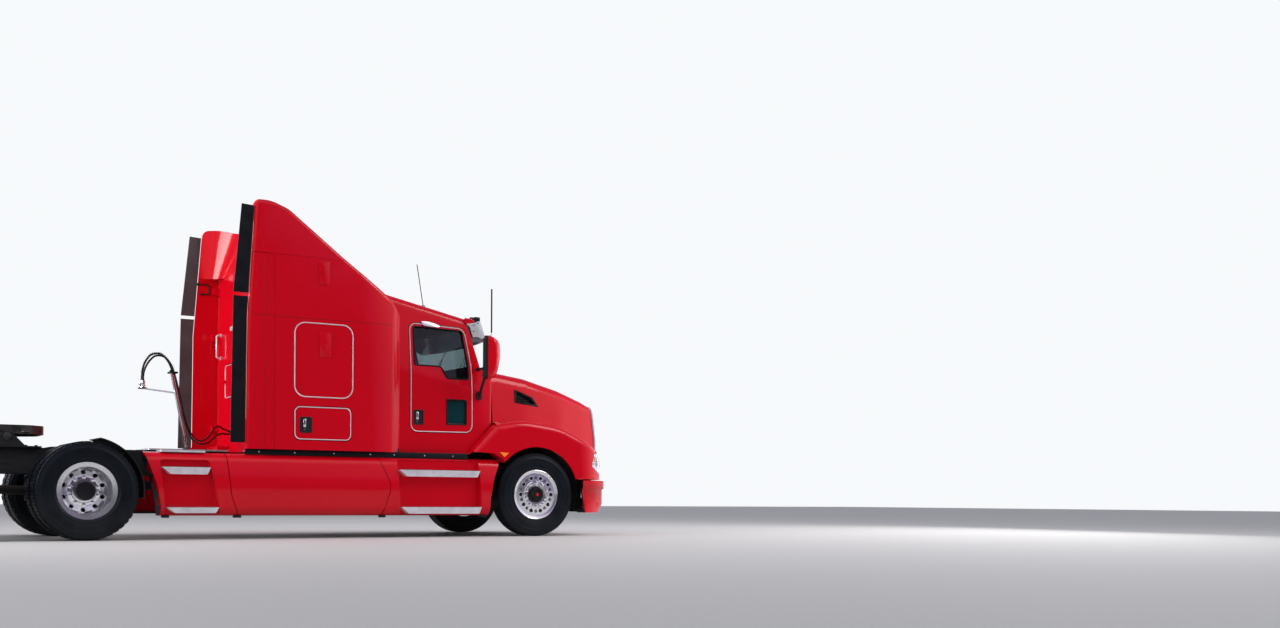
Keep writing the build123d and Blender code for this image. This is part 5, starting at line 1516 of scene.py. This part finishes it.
def cushionPart(size, seamsU=(), seamsV=(), flatBelow=False):
    # A crowned closed form about its own middle, z its thickness, with sewn channels across it
    look, corner = cushionLook, cushionLook["corner"]
    shape = bmesh.new()
    bmesh.ops.create_cube(shape, size=2)
    bmesh.ops.subdivide_edges(shape, edges=shape.edges[:], cuts=look["cuts"], use_grid_fill=True)
    for vert in shape.verts:
        u, v, w = vert.co
        pull = 1 / (abs(u) ** corner + abs(v) ** corner + abs(w) ** corner) ** (1 / corner)
        crown = (1 + look["crown"] * (1 - u * u) * (1 - v * v)) / (1 + look["crown"])
        groove = 0.0
        if w > 0 or not flatBelow:
            for share, at in [(u, line) for line in seamsU] + [(v, line) for line in seamsV]:
                groove = max(groove, math.exp(-(((share - at) / look["seamWidth"]) ** 2)))
        if abs(u) > 0.9 or abs(v) > 0.9:
            groove = 0.0
        height = w * pull * crown * (1 - look["seamDepth"] * groove * (abs(w) > 0.5))
        if flatBelow and w < 0:
            height = w * pull
        side = 1 - 0.02 * (1 - w * w)
        vert.co = (u * pull * side * size[0] / 2, v * pull * side * size[1] / 2, height * size[2] / 2)
    return shape


def seatPlaces(side):
    lean = Matrix.Rotation(math.radians(-11.5), 4, "Y")
    return {
        "cushion": (
            Matrix.Translation((1.685, side * 0.5, 1.466)), (0.505, 0.505, 0.128), (-0.55, 0.55), (0.35,), True,
        ),
        "backrest": (
            Matrix.Translation((1.462, side * 0.5, 1.852)) @ lean @ Matrix.Rotation(math.radians(90), 4, "Y"),
            (0.655, 0.480, 0.112), (-0.30, 0.25), (-0.55, 0.55), False,
        ),
        "headrest": (
            Matrix.Translation((1.380, side * 0.5, 2.255)) @ Matrix.Rotation(math.radians(90), 4, "Y"),
            (0.165, 0.255, 0.098), (), (), False,
        ),
    }


def addPadded(name, shape, place):
    bmesh.ops.transform(shape, matrix=place, verts=shape.verts)
    piece = finishShape(shape, name, "seatFabric", "chassis", smooth=80)
    return piece


def seatStands():
    parts = []
    for y in (-0.5, 0.5):
        parts.append(boxPart((1.530, y - 0.165, 1.037), (1.830, y + 0.165, 1.075), 0.008))
        for k in range(6):
            z, inset = 1.078 + 0.045 * k, 0.004 * (k % 2)
            parts.append(boxPart((1.550 + inset, y - 0.150, z), (1.810 - inset, y + 0.150, z + 0.043), 0.014))
        parts.append(boxPart((1.500, y - 0.205, 1.352), (1.860, y + 0.205, 1.398), 0.010))
        for side in (-1, 1):
            hinge = [(1.470, 0.262, 1.440), (1.520, 0.266, 1.480), (1.500, 0.264, 1.560)]
            parts.append(railPart([(x, y + side * across, z) for x, across, z in hinge], 0.012))
        parts += [stubPart((1.375, y + across, 2.150), (0.005, 0, 0.050), 0.007, 16, 0) for across in (-0.05, 0.05)]
    return gather(*parts)


def makeSeats():
    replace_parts(finishShape(seatStands(), "seat_stands", "blackPlastic", "chassis"), "seats")
    for side, sideName in sideNames.items():
        for part, (place, size, seamsU, seamsV, flat) in seatPlaces(side).items():
            addPadded(f"seat_{part}_{sideName}", cushionPart(size, seamsU, seamsV, flat), place)
    mattress = cushionPart((0.795, 2.220, 0.178), (), (-0.5, 0.0, 0.5), True)
    addPadded("bunk_mattress", mattress, Matrix.Translation((0.160, 0, 1.610)))


makeSeats()


dashLook = dict(
    normal=(-0.848, 0, 0.530), centre=(2.108, 0.500, 1.884), wheelAxis=(-0.866, 0, 0.5), wheelHub=(1.985, 0.5, 1.763),
    dials=[(-0.095, 0.052), (0.095, 0.052), (-0.205, 0.032), (0.205, 0.032), (0.0, 0.030)],
    dialRim=[(-0.004, 0.0), (-0.004, 0.008), (0, 0.010), (0.003, 0.006), (0.003, -0.004)],
    vents=(-0.34, -0.62, -0.80, -1.30), slats=(-0.020, -0.010, 0, 0.010, 0.020), pedals=(0.38, 0.52),
)


def onDash(part, across):
    # Turns a part made along Y to stand on the sloping panel
    look = dashLook
    turn = Vector(look["normal"]).to_track_quat("Y", "Z").to_matrix().to_4x4()
    place = Matrix.Translation(Vector(look["centre"]) + Vector((0, across, 0)))
    bmesh.ops.transform(part, matrix=place @ turn, verts=part.verts)
    return part


def makeDials():
    rims, faces, needles = [], [], []
    for across, radius in dashLook["dials"]:
        profile = [(radius + out, along) for out, along in dashLook["dialRim"]]
        rims.append(onDash(turnedPart(profile, 32), across))
        faces.append(onDash(rodPart((0, -0.004, 0), (0, 0.003, 0), radius - 0.003, sides=32), across))
        needles.append(onDash(boxPart((-0.0012, 0.003, -0.004), (0.0012, 0.0045, radius * 0.7)), across))
    finishShape(gather(*rims), "dial_rims", "brightMetal", "chassis")
    finishShape(gather(*faces), "dial_faces", "hubBlack", "chassis")
    finishShape(gather(*needles), "dial_needles", "amberLens", "chassis")


def dashVents():
    places = dashLook["vents"]
    vents = [onDash(boxPart((-0.055, -0.002, -0.030), (0.055, 0.004, 0.030), 0.004), across) for across in places]
    for across in places:
        slats = [boxPart((-0.050, 0.003, z - 0.0015), (0.050, 0.007, z + 0.0015)) for z in dashLook["slats"]]
        vents += [onDash(slat, across) for slat in slats]
    return gather(*vents, onDash(boxPart((-0.110, -0.002, -0.050), (0.110, 0.005, 0.050), 0.006), -0.480))


def wheelBoss():
    # The steering wheel's middle with a stalk on each side
    column, hub = Vector(dashLook["wheelAxis"]), Vector(dashLook["wheelHub"])
    parts = [rodPart(hub - column * 0.004, hub + column * 0.022, 0.062, 0.050, sides=32, bevel=0.004)]
    for side in (-1, 1):
        near, far = Vector((0, side * 0.03, 0)), Vector((0, side * 0.16, 0.012))
        parts.append(railPart([hub - column * 0.09 + near, hub - column * 0.085 + far], 0.007))
    return gather(*parts)


def floorControls():
    lever = [
        rodPart((1.960, 0.110, 1.036), (1.925, 0.130, 1.400), 0.010),
        rodPart((1.924, 0.1305, 1.395), (1.920, 0.133, 1.452), 0.024, 0.020, sides=24, bevel=0.008),
        rodPart((1.962, 0.110, 1.036), (1.955, 0.113, 1.110), 0.060, 0.022, sides=24, bevel=0.004),
    ]
    pedals = [boxPart((2.145, y - 0.035, 1.090), (2.165, y + 0.035, 1.190), 0.006) for y in dashLook["pedals"]]
    pedals.append(boxPart((2.135, 0.615, 1.050), (2.155, 0.675, 1.220), 0.006))
    arms = [rodPart((2.155, y, 1.140), (2.290, y, 1.300), 0.008) for y in dashLook["pedals"]]
    return gather(*lever, *pedals, *arms)


makeDials()
finishShape(dashVents(), "dash_vents", "blackPlastic", "chassis")
finishShape(wheelBoss(), "wheel_boss", "hubBlack", "chassis")
finishShape(floorControls(), "floor_controls", "hubBlack", "chassis")


def doorTrim():
    rest = boxPart((1.480, 0.940, 1.615), (1.960, 0.982, 1.675), 0.014, 3)
    pull = railPart([(1.560, 0.978, 1.760), (1.560, 0.950, 1.775), (1.700, 0.950, 1.775), (1.700, 0.978, 1.760)], 0.010)
    pocket = boxPart((1.420, 0.955, 1.275), (1.760, 0.982, 1.430), 0.014, 3)
    return gather(rest, pull, pocket)


bothSides(doorTrim, "door_trim", "interiorPlastic", "door_{}")
print("cab inside made")


# Axles, springs, fifth wheel and rear end
axleLook = dict(
    driven=(-2.230, -3.550), height=0.510, chamberAxis=(0.940, 0, 0.342), coverBolts=10, coverRadius=0.172,
    clampsX=(2.905, 2.995), clampsY=(0.402, 0.498),
    clampBow=[(0.402, 0.595), (0.410, 0.603), (0.490, 0.603), (0.498, 0.595)],
)


def drivenTrim(x):
    look = axleLook
    axis, height, parts = Vector(look["chamberAxis"]), look["height"], []
    for side in (-1, 1):
        middle = Vector((x + 0.110, side * 0.280, 0.620))
        parts.append(rodPart(middle - axis * 0.010, middle + axis * 0.010, 0.084, sides=40, bevel=0.003))
        parts.append(rodPart(middle + axis * 0.084, middle + axis * 0.094, 0.030, sides=24, bevel=0.002))
        parts.append(stubPart((x - 0.250, side * 0.468, 0.570), (0, 0, 0.018), 0.1205, 48, 0.004))
        for along in (-0.30, -0.20):
            parts.append(stubPart((x + along, side * 0.515, 0.455), (0, side * 0.009, 0), 0.016, 6, 0.002))
    for k in range(look["coverBolts"]):
        angle = 2 * math.pi * k / look["coverBolts"]
        across, up = look["coverRadius"] * math.cos(angle), look["coverRadius"] * math.sin(angle)
        parts.append(stubPart((x + across, 0.118, height + up), (0, 0.010, 0), 0.011, 6, 0))
    parts.append(rodPart((x - 0.300, 0, height), (x - 0.200, 0, height), 0.060, 0.090, sides=32, bevel=0.004))
    return parts


def clampTrim(x, side):
    parts = []
    for y in axleLook["clampsY"]:
        parts.append(stubPart((x, side * y, 0.440), (0, 0, 0.160), 0.010, 12, 0))
        parts.append(stubPart((x, side * y, 0.455), (0, 0, 0.017), 0.016, 6, 0.002))
    return parts + [railPart([(x, side * y, z) for y, z in axleLook["clampBow"]], 0.010)]


def axleTrim():
    parts = [part for x in axleLook["driven"] for part in drivenTrim(x)]
    return gather(*parts, *[part for side in (-1, 1) for x in axleLook["clampsX"] for part in clampTrim(x, side)])


finishShape(axleTrim(), "axle_trim", "castSteel", "chassis")

couplingLook = dict(
    boltsX=(-3.18, -3.08, -2.98, -2.80, -2.70, -2.60), boltsY=(0.375, 0.420),
    handle=[(-2.700, -0.330), (-2.700, -0.560), (-2.712, -0.585), (-2.745, -0.585), (-2.757, -0.572)],
    throat=[(-3.36, 0.190), (-3.20, 0.112), (-3.00, 0.068), (-2.974, 0.058)],
)


def makeCoupling():
    look = couplingLook
    places = [(x, side * y, 0.979) for side in (-1, 1) for x in look["boltsX"] for y in look["boltsY"]]
    bolts = [stubPart(place, (0, 0, 0.013), 0.014, 6, 0.0015) for place in places]
    caps = [stubPart((-2.890, side * 0.480, 1.075), (0, side * 0.012, 0), 0.040, 32, 0.003) for side in (-1, 1)]
    finishShape(gather(*bolts, *caps), "mount_bolts", "castSteel", "chassis")
    handle = railPart([(x, y, 1.122) for x, y in look["handle"]], 0.009)
    throat = look["throat"] + [(x, -y) for x, y in reversed(look["throat"])]
    lip = railPart([(x, y, 1.1925) for x, y in throat], 0.009)
    finishShape(gather(handle, lip), "coupling_trim", "castSteel", "fifth_wheel")


makeCoupling()


def rearTrim():
    strip = boxPart((-4.121, 0.655, 0.858), (-4.1135, 1.213, 0.902), 0.002)
    bolts = [stubPart((-4.120, 0.700 + 0.117 * k, 0.880), (-0.006, 0, 0), 0.009) for k in range(5)]
    weight = boxPart((-4.1205, 0.655, 0.300), (-4.1135, 1.213, 0.334), 0.002)
    return gather(strip, weight, *bolts)


def lampRings():
    rings = []
    for y in (0.250, 0.370, 0.490):
        ring = turnedPart([(0.047, -0.006), (0.047, 0.006), (0.050, 0.008), (0.055, 0.006), (0.056, -0.006)], 40)
        place = Matrix.Translation((-4.1415, y, 0.633)) @ Matrix.Rotation(math.radians(90), 4, "Z")
        bmesh.ops.transform(ring, matrix=place, verts=ring.verts)
        rings.append(ring)
    return gather(*rings)


bothSides(rearTrim, "flap_strips", "brightMetal", "chassis")
bothSides(lampRings, "tail_rings", "brightMetal", "chassis")

chinRows = [(3.700, 1.085), (3.850, 1.030), (3.960, 0.880), (4.010, 0.600), (4.030, 0.300), (4.036, 0.0)]


def chinLip():
    # Rubber lip under the bumper, along its plan
    path = chinRows + [(x, -y) for x, y in reversed(chinRows[:-1])]
    shape, rows = bmesh.new(), []
    for x, y in path:
        corners = [(x, y, 0.296), (x, y, 0.440), (x - 0.008, y * 0.993, 0.440), (x - 0.008, y * 0.993, 0.296)]
        rows.append([shape.verts.new(corner) for corner in corners])
    return skinRows(shape, rows)


guardBox = dict(low=(3.600, 0.700, 0.330), high=(3.625, 1.085, 0.690), bevel=0.003)
finishShape(chinLip(), "chin_lip", "blackRubber", "chassis")
bothSides(lambda: boxPart(**guardBox), "bumper_guard", "blackRubber", "chassis")
rootBalls = gather(
    rodPart((2.300, -1.230, 2.384), (2.300, -1.230, 2.408), 0.018, 0.013, sides=20, bevel=0.003),
    rodPart((2.300, -1.230, 2.408), (2.300, -1.230, 2.440), 0.0115, sides=16, bevel=0.002),
)
finishShape(rootBalls, "antenna_foot", "brightMetal", bodyOf("antennas"))
print("underside and rear made")

# Studio: floor, soft lights and a pale world
studio = dict(
    reflected=[
        (0.02, (0.04, 0.03, 0.06)), (0.09, (0.22, 0.13, 0.36)), (0.20, (0.36, 0.32, 0.42)), (0.36, (0.75, 0.70, 0.78)),
        (0.60, (1.0, 0.95, 1.0)), (0.80, (0.12, 0.11, 0.18)),
    ],
    floor=(0.62, 0.60, 0.59), sky=(0.80, 0.86, 0.95), horizon=(0.62, 0.62, 0.60), backdrop=(0.93, 0.95, 0.97),
    brightSide=(0.42, 0.30, 0.80), ambient=0.55, gleam=1.4,
    lights={  # place, target, size, power and spread
        "key": ((10, -7, 9.5), (0.5, 0, 1.5), 6, 540, 180),
        "fill": ((-9, -10, 7), (-1, 0, 1.5), 10, 170, 180),
        "ahead": ((12, -1.8, 4.5), (1.5, -0.5, 1.8), 5.5, 430, 180),
        "bounce": ((-11, -1.0, 4.5), (0, 0, 2.0), 5, 370, 100),
        "rim": ((3, 11, 10), (0, 0, 2), 10, 160, 180),
    },
)


def makeFloor(look):
    shape = bmesh.new()
    bmesh.ops.create_grid(shape, x_segments=2, y_segments=2, size=70)
    mesh = bpy.data.meshes.new("floor")
    shape.to_mesh(mesh)
    shape.free()
    floor = bpy.data.objects.new("floor", mesh)
    bpy.context.scene.collection.objects.link(floor)
    material = bpy.data.materials.new("floorPale")
    material.use_nodes = True
    tree = material.node_tree
    shader = tree.nodes["Principled BSDF"]
    grain = shaderNode(tree, "ShaderNodeTexNoise", Scale=35, Detail=5)
    link(tree, tree.nodes.new("ShaderNodeTexCoord").outputs["Object"], grain.inputs["Vector"])
    colors = tree.nodes.new("ShaderNodeValToRGB")
    colors.color_ramp.elements[0].color = (*[c * 0.94 for c in look["floor"]], 1)
    colors.color_ramp.elements[1].color = (*look["floor"], 1)
    link(tree, grain.outputs["Fac"], colors.inputs["Fac"])
    link(tree, colors.outputs["Color"], shader.inputs["Base Color"])
    shader.inputs["Roughness"].default_value = 0.75
    mesh.materials.append(material)


def makeWorld(look):
    world = bpy.data.worlds.new("studio")
    bpy.context.scene.world = world
    world.use_nodes = True
    tree = world.node_tree
    tree.nodes.clear()
    ray = tree.nodes.new("ShaderNodeLightPath")
    direction = tree.nodes.new("ShaderNodeTexCoord")
    split = tree.nodes.new("ShaderNodeSeparateXYZ")
    link(tree, direction.outputs["Generated"], split.inputs["Vector"])
    ramp = tree.nodes.new("ShaderNodeValToRGB")
    ramp.color_ramp.elements[0].position, ramp.color_ramp.elements[1].position = 0.0, 0.35
    ramp.color_ramp.elements[0].color = (*look["horizon"], 1)
    ramp.color_ramp.elements[1].color = (*look["sky"], 1)
    link(tree, split.outputs["Z"], ramp.inputs["Fac"])
    sky = shaderNode(tree, "ShaderNodeBackground", Strength=look["ambient"])
    link(tree, ramp.outputs["Color"], sky.inputs["Color"])
    backdrop = shaderNode(tree, "ShaderNodeBackground", Color=(*look["backdrop"], 1), Strength=1.0)
    bands = tree.nodes.new("ShaderNodeValToRGB")
    bands.color_ramp.elements[0].position, bands.color_ramp.elements[1].position = 0.0, 1.0
    bands.color_ramp.elements[0].color = (0.05, 0.04, 0.06, 1)
    bands.color_ramp.elements[1].color = (0.10, 0.10, 0.20, 1)
    for position, color in look["reflected"]:
        bands.color_ramp.elements.new(position).color = (*color, 1)
    # Reflections brighten upwards, ahead of the truck and beyond it
    facing = tree.nodes.new("ShaderNodeVectorMath")
    facing.operation = "DOT_PRODUCT"
    facing.inputs[1].default_value = look["brightSide"]
    link(tree, direction.outputs["Generated"], facing.inputs[0])
    link(tree, facing.outputs["Value"], bands.inputs["Fac"])
    gleam = shaderNode(tree, "ShaderNodeBackground", Strength=look["gleam"])
    link(tree, bands.outputs["Color"], gleam.inputs["Color"])
    soft = tree.nodes.new("ShaderNodeMixShader")
    link(tree, ray.outputs["Is Glossy Ray"], soft.inputs["Fac"])
    link(tree, sky.outputs["Background"], soft.inputs[1])
    link(tree, gleam.outputs["Background"], soft.inputs[2])
    mix = tree.nodes.new("ShaderNodeMixShader")
    link(tree, ray.outputs["Is Camera Ray"], mix.inputs["Fac"])
    link(tree, soft.outputs["Shader"], mix.inputs[1])
    link(tree, backdrop.outputs["Background"], mix.inputs[2])
    output = tree.nodes.new("ShaderNodeOutputWorld")
    link(tree, mix.outputs["Shader"], output.inputs["Surface"])


def addSoftLight(name, place, target, size, power, spread):
    data = bpy.data.lights.new(name, "AREA")
    data.energy, data.size, data.spread = power, size, math.radians(spread)
    lamp = bpy.data.objects.new(name, data)
    bpy.context.scene.collection.objects.link(lamp)
    lamp.location = place
    # Its outline would show as a hard band along the hood
    lamp.visible_glossy = name != "ahead"
    lamp.rotation_euler = (Vector(target) - Vector(place)).to_track_quat("-Z", "Y").to_euler()


makeFloor(studio)
makeWorld(studio)
for name, light in studio["lights"].items():
    addSoftLight(name, *light)
bpy.context.scene.view_settings.view_transform = "Standard"
print("studio made")
